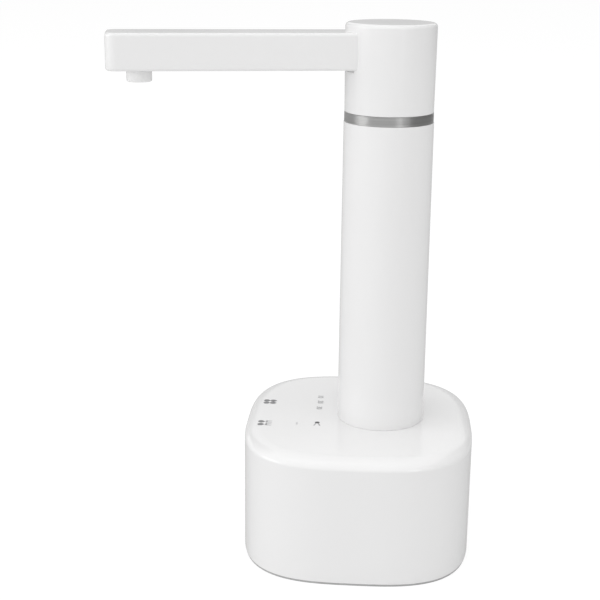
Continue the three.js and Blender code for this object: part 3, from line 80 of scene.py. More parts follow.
# Sizes that several sub-assemblies share, in millimetres.
BASE_LENGTH = 104.5
BASE_TOP = 58.85
COLUMN_AXIS = 9.85
RING_FOOT = 196.5
INLET_HEIGHT = 37.0
SOCKET_HEIGHT = 14.965
NOZZLE_REACH = 107.9

# Flats round a screw hole, a post, a port and a part as wide as the column.
HOLE_SIDES = 24
POST_SIDES = 32
PORT_SIDES = 96
DRUM_SIDES = 192


class Body(Enum):
    """The bodies of the frame that carry the pieces made here."""

    BASE = "base"
    HEAD = "head"


class Way(Enum):
    """How one solid acts on another."""

    JOIN = "UNION"
    CUT = "DIFFERENCE"


class Axis(Enum):
    """The way that the axis of a turned piece points."""

    UP = "Z"
    REAR = "X"


class Facing(Enum):
    """The way that the head of a screw faces."""

    DOWN = (0.0, 0.0, -1.0)
    SIDE = (0.0, -1.0, 0.0)
    UP = (0.0, 0.0, 1.0)


# Drawing with points


def arc(
    radius: float, start: float, sweep: float, steps: int, centre: Point = (0.0, 0.0)
) -> list[Point]:
    """Draws a part of a circle.

    Args:
        radius: Radius of the circle.
        start: Angle of the first point, in radians.
        sweep: Angle from the first point to the last.
        steps: Straight pieces in it.
        centre: Middle of the circle.

    Returns:
        Its points, one more than its steps.
    """
    x, y = centre
    turns = [start + sweep * step / steps for step in range(steps + 1)]
    return [(x + radius * math.cos(turn), y + radius * math.sin(turn)) for turn in turns]


def circle(radius: float, sides: int, centre: Point = (0.0, 0.0)) -> list[Point]:
    """Draws a circle as a list of points, anticlockwise."""
    return arc(radius, 0.0, FULL_TURN, sides, centre)[:-1]


def trace(corners: Sequence[Place], steps: int, closed: bool = True) -> list[Point]:
    """Draws a profile and rounds its corners.

    Args:
        corners: Place across, place up and round of each corner, in millimetres.
        steps: Straight pieces in each round.
        closed: Whether the last corner joins the first.

    Returns:
        The points of the profile.
    """
    points: list[Point] = []
    count = len(corners)
    for i, (across, up, radius) in enumerate(corners):
        here = Vector((across, up))
        if radius <= 0 or (not closed and i in (0, count - 1)):
            points.append((across, up))
            continue
        before = (Vector(corners[i - 1][:2]) - here).normalized()
        after = (Vector(corners[(i + 1) % count][:2]) - here).normalized()
        # The round touches both sides of the corner at the same distance from it.
        half = before.angle(after) / 2
        centre = here + (before + after).normalized() * (radius / math.sin(half))
        reach = radius / math.tan(half)
        first = here + before * reach - centre
        last = here + after * reach - centre
        start = math.atan2(first.y, first.x)
        sweep = math.atan2(last.y, last.x) - start
        sweep -= FULL_TURN * round(sweep / FULL_TURN)
        points += arc(radius, start, sweep, steps, centre)
    return points


def upright(
    foot: float, top: float, foot_round: float, top_round: float, steps: int
) -> list[Point]:
    """Draws the section of an upright wall with rounded edges.

    Args:
        foot: Height of its lower edge.
        top: Height of its upper edge.
        foot_round: Round of the lower edge.
        top_round: Round of the upper edge.
        steps: Straight pieces in each round.

    Returns:
        Inset and height of each of its levels.
    """
    outside = [(0.0, foot, foot_round), (0.0, top, top_round)]
    corners = [(INSIDE, foot, 0.0), *outside, (INSIDE, top, 0.0)]
    return trace(corners, steps, closed=False)[1:-1]


def rounded_rectangle(length: float, width: float, corner: float, steps: int = 8) -> list[Point]:
    """Draws a rectangle with round corners, centred on the origin, anticlockwise."""
    x, y = length / 2, width / 2
    return trace([(x, -y, corner), (x, y, corner), (-x, y, corner), (-x, -y, corner)], steps)


def bar(start: Point, end: Point, width: float, steps: int = 6) -> list[Point]:
    """Draws a stroke with round ends.

    Args:
        start: Middle of one end.
        end: Middle of the other end.
        width: Width of the stroke.
        steps: Straight pieces in each quarter of its ends.

    Returns:
        The outline of the stroke.
    """
    along = Vector(end) - Vector(start)
    outline = rounded_rectangle(along.length + width, width, width / 2, steps)
    middle = (Vector(start) + Vector(end)) / 2
    spin = Matrix.Rotation(math.atan2(along.y, along.x), 2)
    return [tuple(middle + spin @ Vector(point)) for point in outline]


# Meshes


def clean(mesh: Mesh) -> None:
    """Merges points that meet, removes edges without faces and turns all faces outwards.

    Args:
        mesh: The mesh to clean.
    """
    work = bmesh.new()
    work.from_mesh(mesh)
    bmesh.ops.remove_doubles(work, verts=work.verts, dist=MERGE * MM)
    bare = [edge for edge in work.edges if not edge.link_faces]
    bmesh.ops.delete(work, geom=bare, context="EDGES")
    bmesh.ops.recalc_face_normals(work, faces=work.faces)
    work.to_mesh(mesh)
    work.free()


def add_object(name: str, data: bpy.types.ID) -> Object:
    """Makes an object and links it to the scene.

    Args:
        name: The name of the object.
        data: Its mesh, curve, camera or lamp.

    Returns:
        The new object.
    """
    made = bpy.data.objects.new(name, data)
    bpy.context.scene.collection.objects.link(made)
    return made


def mesh_of(thing: Object) -> Mesh:
    """Returns a new mesh with the shape that an object's modifiers give it."""
    state = bpy.context.evaluated_depsgraph_get()
    return bpy.data.meshes.new_from_object(thing.evaluated_get(state), depsgraph=state)


def bake(piece: Object) -> None:
    """Turns a piece and its modifiers into one plain mesh.

    Args:
        piece: The piece to bake.
    """
    made, old = mesh_of(piece), piece.data
    piece.modifiers.clear()
    piece.data = made
    made.name = piece.name
    bpy.data.meshes.remove(old)


def work_on(piece: Object, way: Way, tools: Iterable[Object]) -> None:
    """Joins tools to a piece or cuts them from it, and removes them.

    Args:
        piece: The piece that is changed.
        way: Whether the tools are joined or cut.
        tools: The closed solids to work with.
    """
    tools = list(tools)
    for tool in tools:
        modifier = piece.modifiers.new(way.name, "BOOLEAN")
        modifier.operation = way.value
        modifier.solver = "EXACT"
        modifier.object = tool
    bake(piece)
    for tool in tools:
        mesh = tool.data
        bpy.data.objects.remove(tool)
        bpy.data.meshes.remove(mesh)


def smooth(piece: Object, sharp: float = 34.0, weight: int = 100) -> None:
    """Shades a piece smoothly, keeps its hard edges and lets its flat faces stay flat.

    Args:
        piece: The piece to shade.
        sharp: Angle in degrees from which an edge stays hard.
        weight: How far large faces rule the shading round them, 100 for wholly.
    """
    clean(piece.data)
    piece.data.shade_smooth()
    piece.data.set_sharp_from_angle(angle=math.radians(sharp))
    modifier = piece.modifiers.new("flat_faces", "WEIGHTED_NORMAL")
    modifier.keep_sharp = True
    modifier.weight = weight
    bake(piece)


@dataclass
class Draft:
    """Corners and faces of a piece, in millimetres, before they become a mesh."""

    corners: list[Vector] = field(default_factory=list)
    faces: list[tuple[int, ...]] = field(default_factory=list)

    def add(self, other: "Draft") -> None:
        """Adds the corners and faces of another draft.

        Args:
            other: The draft to add.
        """
        start = len(self.corners)
        self.corners += other.corners
        self.faces += [tuple(start + corner for corner in face) for face in other.faces]

    def moved(self, matrix: Matrix) -> "Draft":
        """Returns a copy that is moved by a matrix."""
        return Draft([matrix @ corner for corner in self.corners], list(self.faces))

    def placed(self, place: Place, axis: Axis = Axis.UP) -> "Draft":
        """Returns a copy at a place, with its own Z axis laid along an axis."""
        turn = Matrix.Rotation(QUARTER_TURN, 4, "Y") if axis is Axis.REAR else Matrix.Identity(4)
        return self.moved(Matrix.Translation(place) @ turn)

    def piece(self, name: str) -> Object:
        """Makes a mesh object. The faces of a closed one point outwards.

        Args:
            name: The name of the piece.

        Returns:
            The new object, with its place in its mesh.
        """
        mesh = bpy.data.meshes.new(name)
        mesh.from_pydata([corner * MM for corner in self.corners], [], self.faces)
        clean(mesh)
        return add_object(name, mesh)


def skin(rings: Sequence[Sequence[Point]], heights: Sequence[float], looped: bool) -> Draft:
    """Joins a row of rings that have the same number of points.

    Args:
        rings: The points of each ring, anticlockwise.
        heights: The height of each ring.
        looped: Whether the last ring joins the first. If not, both ends are closed.

    Returns:
        The closed draft.
    """
    made = Draft([Vector((*p, height)) for ring, height in zip(rings, heights) for p in ring])
    levels, count = len(rings), len(rings[0])
    for level in range(levels if looped else levels - 1):
        here, over = level * count, (level + 1) % levels * count
        for i in range(count):
            j = (i + 1) % count
            made.faces.append((here + i, here + j, over + j, over + i))
    if not looped:
        made.faces.append(tuple(range(count - 1, -1, -1)))
        made.faces.append(tuple((levels - 1) * count + i for i in range(count)))
    return made


def lathe(profile: Sequence[Point], sides: int) -> Draft:
    """Turns a profile round the Z axis.

    Args:
        profile: Radius and height of each point, in a closed loop or from axis to axis.
        sides: Number of flats round the axis.

    Returns:
        The turned draft.
    """
    on_axis = profile[0][0] < MERGE and profile[-1][0] < MERGE
    inner = profile[1:-1] if on_axis else profile
    rings = [circle(radius, sides) for radius, _ in inner]
    return skin(rings, [height for _, height in inner], not on_axis)


def loft(levels: Sequence[tuple[Sequence[Point], float]]) -> Draft:
    """Skins a stack of outlines with their heights and closes both ends."""
    return skin([outline for outline, _ in levels], [height for _, height in levels], False)


def slab(outline: Sequence[Point], bottom: float, top: float) -> Draft:
    """Returns a flat closed draft between two heights."""
    return loft([(outline, bottom), (outline, top)])


# Node trees and finishes


class Graph:
    """A node tree with short ways to add, feed and join nodes."""

    def __init__(self, tree: NodeTree) -> None:
        """Takes the tree to work in."""
        self.tree = tree

    def put(self, value: object, socket: Socket) -> None:
        """Links an output to an input, or gives the input a value.

        Args:
            value: The output or the value.
            socket: The input.
        """
        if isinstance(value, Socket):
            self.tree.links.new(value, socket)
        else:
            socket.default_value = value

    def node(
        self, kind: str, inputs: dict[str | int, object] | None = None, **settings: object
    ) -> Node:
        """Adds a node, sets its properties and feeds its inputs.

        Args:
            kind: The node's type.
            inputs: Input names or numbers, each with a value, an output or a list of outputs.
            settings: Property names and values.

        Returns:
            The new node.
        """
        made = self.tree.nodes.new(kind)
        for name, value in settings.items():
            setattr(made, name, value)
        for key, value in (inputs or {}).items():
            for source in value if isinstance(value, list) else [value]:
                self.put(source, made.inputs[key])
        return made

    def math(self, operation: str, first: object, second: object = 0.0) -> Socket:
        """Returns the result of one sum of two numbers."""
        return self.node("ShaderNodeMath", {0: first, 1: second}, operation=operation).outputs[0]

    def vector(self, x: object, y: object, z: object) -> Socket:
        """Returns a place made of three numbers."""
        return self.node("ShaderNodeCombineXYZ", {0: x, 1: y, 2: z}).outputs[0]


class Shading(Graph):
    """The node tree of a material or of the world."""

    def __init__(self, owner: Owner) -> None:
        """Empties the tree of a material or world.

        Args:
            owner: The material or world.
        """
        owner.use_nodes = True
        super().__init__(owner.node_tree)
        self.owner = owner
        self.tree.nodes.clear()

    @cached_property
    def place(self) -> Socket:
        """The places on the piece, in its own coordinates."""
        return self.node("ShaderNodeTexCoord").outputs["Object"]

    def close(self, surface: Node) -> Owner:
        """Ends the tree with a surface.

        Args:
            surface: The shader to show.

        Returns:
            The finished material or world.
        """
        kind = "World" if isinstance(self.owner, bpy.types.World) else "Material"
        self.node(f"ShaderNodeOutput{kind}", {"Surface": surface.outputs[0]})
        return self.owner

    def mapped(self, stretch: Place, centre: Place) -> Socket:
        """Reads places on the piece, moved to a centre and then stretched.

        Args:
            stretch: Factor along each axis.
            centre: The place in millimetres that becomes the origin.

        Returns:
            The output with the places.
        """
        move = tuple(-value * MM * factor for value, factor in zip(centre, stretch))
        inputs = {"Vector": self.place, "Scale": stretch, "Location": move}
        return self.node("ShaderNodeMapping", inputs).outputs["Vector"]

    def noise(self, size: float, detail: float = 2.0, where: Socket | None = None) -> Socket:
        """Returns an even noise with spots of a size, with finer layers, at given places."""
        inputs = {"Vector": where or self.place, "Scale": 1 / (size * MM), "Detail": detail}
        return self.node("ShaderNodeTexNoise", inputs).outputs["Fac"]

    def ranged(
        self, value: Socket, low: float, high: float, start: float = 0.3, end: float = 0.7
    ) -> Socket:
        """Returns a value spread from the range start to end over the range low to high."""
        limits = {"From Min": start, "From Max": end, "To Min": low, "To Max": high}
        return self.node("ShaderNodeMapRange", {"Value": value, **limits}).outputs["Result"]

    def blend(self, share: Socket, first: object, second: object) -> Socket:
        """Returns two colours mixed by the share of the second."""
        # A mix node has its colours in inputs 6 and 7.
        inputs = {0: share, 6: first, 7: second}
        return self.node("ShaderNodeMix", inputs, data_type="RGBA").outputs[2]

    def bump(self, height: Socket, depth: float, under: Socket | None = None) -> Socket:
        """Raises the surface by a height pattern.

        Args:
            height: The pattern, from 0 to 1.
            depth: Its depth in millimetres.
            under: Another bump that lies under this one.

        Returns:
            The bent normal.
        """
        inputs = {"Height": height, "Distance": depth * MM}
        if under is not None:
            inputs["Normal"] = under
        return self.node("ShaderNodeBump", inputs).outputs["Normal"]

    def seen_rays(self) -> tuple[Socket, Socket]:
        """Tells the rays that see a surface from those that only carry its light.

        Returns:
            1 for rays from the camera, gloss or glass, and 1 for rays from gloss or glass alone.
        """
        rays = self.node("ShaderNodeLightPath").outputs
        mirrored = self.math("MAXIMUM", rays["Is Glossy Ray"], rays["Is Transmission Ray"])
        return self.math("MAXIMUM", rays["Is Camera Ray"], mirrored), mirrored


def tone(colour: Colour, factor: float) -> Tone:
    """Returns a colour made darker or lighter by a factor, at most white, for a socket."""
    return (*(min(value * factor, 1.0) for value in colour), 1.0)


@dataclass(frozen=True)
class Finish:
    """A moulded surface: slow patches in colour and gloss over a fine grain of real depth."""

    name: str
    slot: str
    colour: Colour
    roughness: float
    grain: float
    depth: float
    patch: float = 30.0
    shade: float = 0.03
    gloss_shift: float = 0.05
    settings: tuple[tuple[str, float], ...] = ()

    def material(self) -> bpy.types.Material:
        """Returns this finish's material, made once."""
        return bpy.data.materials.get(self.name) or self.made()

    def made(self) -> bpy.types.Material:
        """Builds the material.

        Returns:
            The new material.
        """
        graph = Shading(bpy.data.materials.new(self.name))
        inputs = {
            "Base Color": self.tint(graph),
            "Roughness": self.gloss(graph),
            "Normal": self.relief(graph),
            **dict(self.settings),
            **self.extras(graph),
        }
        return graph.close(graph.node("ShaderNodeBsdfPrincipled", inputs))

    def tint(self, graph: Shading) -> Socket:
        """Returns the output that carries the colour."""
        share = graph.noise(self.patch)
        return graph.blend(share, *self.tones)

    def gloss(self, graph: Shading) -> Socket:
        """Returns the output that carries the roughness."""
        return graph.ranged(graph.noise(self.patch, 0.0), *self.glosses, 0.0, 1.0)

    def relief(self, graph: Shading) -> Socket:
        """Returns the output that carries the bent normal."""
        return graph.bump(graph.noise(self.grain, 1.0), self.depth)

    def extras(self, graph: Shading) -> dict[str, object]:
        """Returns further inputs of the shader."""
        return {}

    @property
    def tones(self) -> tuple[Tone, Tone]:
        """The colour at its darkest and at its lightest."""
        return tone(self.colour, 1 - self.shade), tone(self.colour, 1 + self.shade)

    @property
    def glosses(self) -> tuple[float, float]:
        """The roughness at its lowest and at its highest."""
        return self.roughness - self.gloss_shift, self.roughness + self.gloss_shift


@dataclass(frozen=True)
class Brushed(Finish):
    """Metal that was brushed round its axis: long fine lines in colour, gloss and height."""

    centre: Place = (0.0, 0.0, 0.0)
    length: float = 40.0
    detail: float = 3.0
    stretch: float = 0.0
    across: Place = (0.01, 0.02, 1.0)

    def lines(self, graph: Shading, size: float) -> Socket:
        """Returns a pattern of lines of a width that run round the piece."""
        share = size / self.length
        return graph.noise(size, self.detail, graph.mapped((share, share, 1.0), self.centre))

    def tint(self, graph: Shading) -> Socket:
        """Returns the output that carries the colour."""
        return graph.blend(graph.ranged(self.lines(graph, self.grain), 0.0, 1.0), *self.tones)

    def gloss(self, graph: Shading) -> Socket:
        """Returns the output that carries the roughness."""
        return graph.ranged(self.lines(graph, self.grain * 2), *self.glosses)

    def relief(self, graph: Shading) -> Socket:
        """Returns the output that carries the bent normal."""
        return graph.bump(self.lines(graph, self.grain), self.depth)

    def extras(self, graph: Shading) -> dict[str, object]:
        """Stretches highlights across the lines.

        Args:
            graph: The material's tree.

        Returns:
            The inputs that do so, if highlights are stretched.
        """
        if not self.stretch:
            return {}
        return {"Anisotropic": self.stretch, "Tangent": graph.vector(*self.across)}


@dataclass(frozen=True)
class Laminate(Finish):
    """A circuit board: the weave of the glass, and copper tracks as paler lines under the coat."""

    track_pitch: float = 1.6
    track_gap: float = 0.12
    track_length: float = 3.0
    track_shift: float = 0.5
    copper: float = 1.9

    def tracks(self, graph: Shading) -> Socket:
        """Draws straight tracks.

        Args:
            graph: The material's tree.

        Returns:
            A pattern of rows with lines round them.
        """
        inputs = {
            "Vector": graph.place,
            "Scale": 1 / (self.track_pitch * MM),
            "Mortar Size": self.track_gap,
            "Brick Width": self.track_length,
            "Row Height": 1.0,
        }
        return graph.node("ShaderNodeTexBrick", inputs, offset=self.track_shift).outputs["Fac"]

    def tint(self, graph: Shading) -> Socket:
        """Returns the output that carries the colour."""
        base = super().tint(graph)
        return graph.blend(self.tracks(graph), base, tone(self.colour, self.copper))

    def relief(self, graph: Shading) -> Socket:
        """Returns the output that carries the bent normal."""
        return graph.bump(self.tracks(graph), self.depth, super().relief(graph))


@dataclass(frozen=True)
class Cells(Finish):
    """Foam or pebbled rubber: small round cells side by side."""

    edge: float = 0.8

    def relief(self, graph: Shading) -> Socket:
        """Raises each cell towards its middle.

        Args:
            graph: The material's tree.

        Returns:
            The output that carries the bent normal.
        """
        inputs = {"Vector": graph.place, "Scale": 1 / (self.grain * MM)}
        middle = graph.node("ShaderNodeTexVoronoi", inputs).outputs["Distance"]
        return graph.bump(graph.ranged(middle, 1.0, 0.0, 0.0, self.edge), self.depth)


METAL = (("Metallic", 1.0),)
CLEAR = (("Transmission Weight", 0.92), ("IOR", 1.49))
MILKY = (("Subsurface Weight", 0.35), ("Subsurface Scale", 0.002), ("IOR", 1.41))
RING_AXIS = (COLUMN_AXIS, 0.0, 198.6)
WHITE = (1.0, 1.0, 1.0)

# Name, slot, colour, roughness, width and depth of the grain, size of the patches, how far
# they shift the colour and the gloss, and further settings.
GLOSS_WHITE = Finish(
    "gloss_white_abs", "gloss_white", (0.868, 0.866, 0.866), 0.16, 2.4, 0.004, 38.0, 0.008
)
INNER_WHITE = Finish(
    "matt_white_abs", "inner_white", (0.80, 0.80, 0.785), 0.5, 0.35, 0.02, 24.0, 0.02
)
PAD_RUBBER = Cells(
    "grey_foot_rubber", "pad_rubber", (0.45, 0.45, 0.45), 0.8, 0.9, 0.05, 16.0, 0.05
)
BLACK_RUBBER = Finish(
    "black_seal_rubber", "black_rubber", (0.028, 0.028, 0.03), 0.72, 0.3, 0.02, 8.0, 0.12
)
SILICONE = Finish(
    "milky_silicone", "silicone", (0.74, 0.77, 0.77), 0.34, 1.2, 0.01, 14.0, 0.03, 0.06, MILKY
)
DARK_STEEL = Brushed(
    "brushed_dark_steel", "dark_steel", (0.52, 0.52, 0.515), 0.45, 0.22, 0.008, shade=0.14,
    gloss_shift=0.07, settings=METAL, centre=RING_AXIS, stretch=0.9,
)
STEEL = Brushed(
    "drawn_steel", "steel", (0.58, 0.59, 0.60), 0.3, 0.3, 0.003, shade=0.08,
    gloss_shift=0.07, settings=METAL, length=12.0,
)
PUMP_NYLON = Finish(
    "black_nylon", "pump_nylon", (0.042, 0.043, 0.047), 0.5, 0.5, 0.02, 10.0, 0.10
)
GEAR_RESIN = Finish("natural_acetal", "gear_resin", (0.78, 0.71, 0.55), 0.36, 0.8, 0.008, 9.0)
CLEAR_GUIDE = Finish(
    "clear_acrylic", "clear_guide", (0.90, 0.96, 0.97), 0.08, 2.0, 0.003, 9.0, 0.01, 0.02, CLEAR
)
CELL_WRAP = Finish(
    "blue_shrink_sleeve", "cell_wrap", (0.05, 0.19, 0.46), 0.34, 3.5, 0.03, 14.0, 0.05
)
BOARD_GREEN = Laminate(
    "green_laminate", "board_green", (0.014, 0.13, 0.062), 0.4, 0.4, 0.02, 12.0, 0.08
)
FOAM = Cells("grey_foam", "foam", (0.085, 0.085, 0.09), 0.92, 0.5, 0.15, 6.0, 0.15)
INK_GREY = Finish("grey_ink", "pad_rubber", (0.235, 0.235, 0.24), 0.5, 0.12, 0.003, 1.2, 0.10)
INK_DARK = Finish("dark_ink", "pad_rubber", (0.11, 0.11, 0.115), 0.5, 0.12, 0.003, 1.2, 0.10)
INK_PALE = Finish("pale_ink", "pad_rubber", (0.40, 0.40, 0.405), 0.5, 0.12, 0.003, 1.2, 0.06)
INK_FAINT = Finish("faint_ink", "pad_rubber", (0.58, 0.58, 0.585), 0.5, 0.12, 0.003, 1.2, 0.04)
CONTACT_GOLD = Finish(
    "contact_gold", "steel", (0.83, 0.60, 0.24), 0.25, 0.3, 0.002, 2.0, 0.05, 0.05, METAL
)


def settle(piece: Object, body: Body, finish: Finish, *nodes: str) -> None:
    """Gives a finished piece its material and its body, and hides the nodes that it stands for.

    Args:
        piece: The finished piece.
        body: The body that it moves with.
        finish: Its finish.
        nodes: Names of the nodes that it replaces.
    """
    piece.data.materials.clear()
    piece.data.materials.append(finish.material())
    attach(piece, body.value)
    if nodes:
        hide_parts(*nodes)
    faces = len(piece.data.polygons)
    LOG.info("%s: %d faces, rides on %s, stands for %s", piece.name, faces, body.value, nodes)


# Geometry Nodes


class Growth(Graph):
    """A Geometry Nodes tree that takes a geometry, named sizes and a finish."""

    def __init__(self, name: str, *sizes: str) -> None:
        """Starts the tree.

        Args:
            name: The name of the tree.
            sizes: Names of the number inputs.
        """
        super().__init__(bpy.data.node_groups.new(name, "GeometryNodeTree"))
        add = self.tree.interface.new_socket
        add("Geometry", in_out="OUTPUT", socket_type="NodeSocketGeometry")
        add("Geometry", in_out="INPUT", socket_type="NodeSocketGeometry")
        for size in sizes:
            add(size, in_out="INPUT", socket_type="NodeSocketFloat")
        add("Finish", in_out="INPUT", socket_type="NodeSocketMaterial")
        self.inputs = self.node("NodeGroupInput").outputs

    def take(self, name: str) -> Socket:
        """Returns the output of a named input."""
        return self.inputs[name]

    def named(self, name: str, kind: str = "FLOAT") -> Socket:
        """Returns a named attribute of the points."""
        made = self.node("GeometryNodeInputNamedAttribute", {"Name": name}, data_type=kind)
        return made.outputs["Attribute"]

    def instances(self, thing: Socket, turn: Socket | None = None) -> Socket:
        """Puts a thing on each point.

        Args:
            thing: The geometry to repeat.
            turn: How each one is turned, or nothing.

        Returns:
            The instances.
        """
        inputs = {"Points": self.take("Geometry"), "Instance": thing}
        if turn is not None:
            inputs["Rotation"] = turn
        return self.node("GeometryNodeInstanceOnPoints", inputs).outputs[0]

    def close(self, geometry: Socket) -> NodeTree:
        """Ends the tree with plain geometry in its finish.

        Args:
            geometry: The geometry to give out.

        Returns:
            The finished tree.
        """
        real = self.node("GeometryNodeRealizeInstances", {"Geometry": geometry}).outputs[0]
        inputs = {"Geometry": real, "Material": self.take("Finish")}
        dressed = self.node("GeometryNodeSetMaterial", inputs).outputs[0]
        self.node("NodeGroupOutput", {0: dressed})
        return self.tree


def grow(piece: Object, tree: NodeTree, finish: Finish, sizes: dict[str, float]) -> None:
    """Runs a Geometry Nodes tree on a piece and keeps its result as a plain mesh.

    Args:
        piece: The piece whose mesh the tree starts from.
        tree: The tree to run.
        finish: The material that the tree sets.
        sizes: Value of each number input, in metres or as a plain number.
    """
    modifier = piece.modifiers.new(tree.name, "NODES")
    modifier.node_group = tree
    values = {**sizes, "Finish": finish.material()}
    for item in tree.interface.items_tree:
        if item.in_out == "INPUT" and item.name in values:
            modifier[item.identifier] = values[item.name]
    bake(piece)


class SuperellipseGrowth(Growth):
    """Lays a net of points on the base's superellipse.

    Each point has a turn round the axis, an inset from the outline, a height, and a pull
    towards a round hole.
    """

    def __init__(self) -> None:
        """Names the sizes of the outline and of its hole."""
        sizes = ("Half Length", "Half Width", "Squareness", "Hole Place", "Hole Radius")
        super().__init__("superellipse", *sizes)
        self.along = self.math("COSINE", self.named("turn"))
        self.across = self.math("SINE", self.named("turn"))

    def outline_radius(self) -> Socket:
        """Works out how far the outline lies from the axis at a point's turn.

        Returns:
            The distance.
        """
        square = self.take("Squareness")
        parts = []
        for side, half in ((self.along, "Half Length"), (self.across, "Half Width")):
            reach = self.math("SUBTRACT", self.take(half), self.named("inset"))
            share = self.math("ABSOLUTE", self.math("DIVIDE", side, reach))
            parts.append(self.math("POWER", share, square))
        return self.math("POWER", self.math("ADD", *parts), self.math("DIVIDE", -1.0, square))

    def spot(self, radius: Socket, shift: object = 0.0) -> Socket:
        """Places a point at its turn and height.

        Args:
            radius: Its distance from the axis.
            shift: Place of that axis along the base.

        Returns:
            The place.
        """
        along = self.math("MULTIPLY", radius, self.along)
        across = self.math("MULTIPLY", radius, self.across)
        return self.vector(self.math("ADD", shift, along), across, self.named("height"))

    def finished(self) -> NodeTree:
        """Mixes each point's places on the wall and on the hole by its pull.

        Returns:
            The finished tree.
        """
        wall = self.spot(self.outline_radius())
        rim = self.spot(self.take("Hole Radius"), self.take("Hole Place"))
        # A mix node has its vectors in inputs 4 and 5.
        inputs = {0: self.named("pull"), 4: wall, 5: rim}
        place = self.node("ShaderNodeMix", inputs, data_type="VECTOR").outputs[1]
        inputs = {"Geometry": self.take("Geometry"), "Position": place}
        laid = self.node("GeometryNodeSetPosition", inputs).outputs[0]
        inputs = {"Geometry": laid, "Distance": MERGE * MM}
        return self.close(self.node("GeometryNodeMergeByDistance", inputs).outputs[0])


class ScrewGrowth(Growth):
    """Puts a threaded pan-head screw with a cross recess on each point."""

    shank_sides: int = 20
    shank_rings: int = 36
    head_sides: int = 32
    head_rings: int = 8
    dome_power: float = 3.0
    dome_depth: float = 0.75
    blade_length: float = 1.1
    blade_width: float = 0.26

    def __init__(self) -> None:
        """Names the sizes of a screw."""
        sizes = ("Shank Radius", "Head Radius", "Head Height", "Length", "Pitch", "Thread Depth")
        super().__init__("pan_screw", *sizes)

    @cached_property
    def position(self) -> Sequence[Socket]:
        """The three numbers of a point's place."""
        place = self.node("GeometryNodeInputPosition").outputs[0]
        return self.node("ShaderNodeSeparateXYZ", {0: place}).outputs

    def rod(
        self, size: tuple[int, int], radius: Socket, depth: Socket, draw: Socket, lift: Socket
    ) -> Socket:
        """Makes a rod whose rings are drawn towards its axis.

        Args:
            size: Number of its sides and of its rings.
            radius: Its radius.
            depth: Its length.
            draw: Factor for the radius at each point.
            lift: How far the rod is lifted.

        Returns:
            The mesh.
        """
        sides, rings = size
        shape = {"Vertices": sides, "Side Segments": rings, "Radius": radius, "Depth": depth}
        plain = self.node("GeometryNodeMeshCylinder", shape).outputs["Mesh"]
        x, y, z = self.position
        place = self.vector(self.math("MULTIPLY", x, draw), self.math("MULTIPLY", y, draw), z)
        inputs = {"Geometry": plain, "Position": place, "Offset": self.vector(0.0, 0.0, lift)}
        return self.node("GeometryNodeSetPosition", inputs).outputs[0]

    def shank(self) -> Socket:
        """Makes the threaded shank, which starts in the middle of the head.

        Returns:
            The mesh.
        """
        radius, height, length = (
            self.take(name) for name in ("Shank Radius", "Head Height", "Length")
        )
        wave = self.math("PINGPONG", self.math("DIVIDE", self.position[2], self.take("Pitch")), 0.5)
        groove = self.math("MULTIPLY", self.math("MULTIPLY", wave, self.take("Thread Depth")), 2.0)
        draw = self.math("SUBTRACT", 1.0, self.math("DIVIDE", groove, radius))
        depth = self.math("ADD", length, self.math("DIVIDE", height, 2.0))
        lift = self.math(
            "SUBTRACT", self.math("DIVIDE", height, 4.0), self.math("DIVIDE", length, 2.0)
        )
        return self.rod((self.shank_sides, self.shank_rings), radius, depth, draw, lift)

    def head(self) -> Socket:
        """Makes the domed head.

        Returns:
            The mesh.
        """
        height = self.take("Head Height")
        rise = self.math("ADD", self.math("DIVIDE", self.position[2], height), 0.5)
        drop = self.math("MULTIPLY", self.math("POWER", rise, self.dome_power), self.dome_depth)
        draw = self.math("SQRT", self.math("SUBTRACT", 1.0, drop))
        size = (self.head_sides, self.head_rings)
        lift = self.math("DIVIDE", height, 2.0)
        return self.rod(size, self.take("Head Radius"), height, draw, lift)

    def blades(self) -> list[Socket]:
        """Makes the two blocks that cut the cross recess.

        Returns:
            Their meshes.
        """
        radius, height = self.take("Head Radius"), self.take("Head Height")
        sides = [self.math("MULTIPLY", radius, s) for s in (self.blade_length, self.blade_width)]
        made = []
        for x, y in (sides, sides[::-1]):
            block = self.node("GeometryNodeMeshCube", {"Size": self.vector(x, y, height)})
            lift = self.vector(0.0, 0.0, height)
            inputs = {"Geometry": block.outputs[0], "Translation": lift}
            made.append(self.node("GeometryNodeTransform", inputs).outputs[0])
        return made

    def solid(self, way: Way, inputs: dict[str, object]) -> Socket:
        """Returns meshes that are joined, or one that is cut."""
        settings = {"operation": way.value, "solver": "EXACT"}
        return self.node("GeometryNodeMeshBoolean", inputs, **settings).outputs[0]

    def finished(self) -> NodeTree:
        """Joins head and shank, cuts the recess and puts a screw on each point.

        Returns:
            The finished tree.
        """
        whole = self.solid(Way.JOIN, {"Mesh 2": [self.head(), self.shank()]})
        recessed = self.solid(Way.CUT, {"Mesh 1": whole, "Mesh 2": self.blades()})
        inputs = {"Vector": self.named("facing", "FLOAT_VECTOR")}
        spin = self.node("FunctionNodeAlignRotationToVector", inputs, axis="Z").outputs[0]
        return self.close(self.instances(recessed, spin))


# Stage


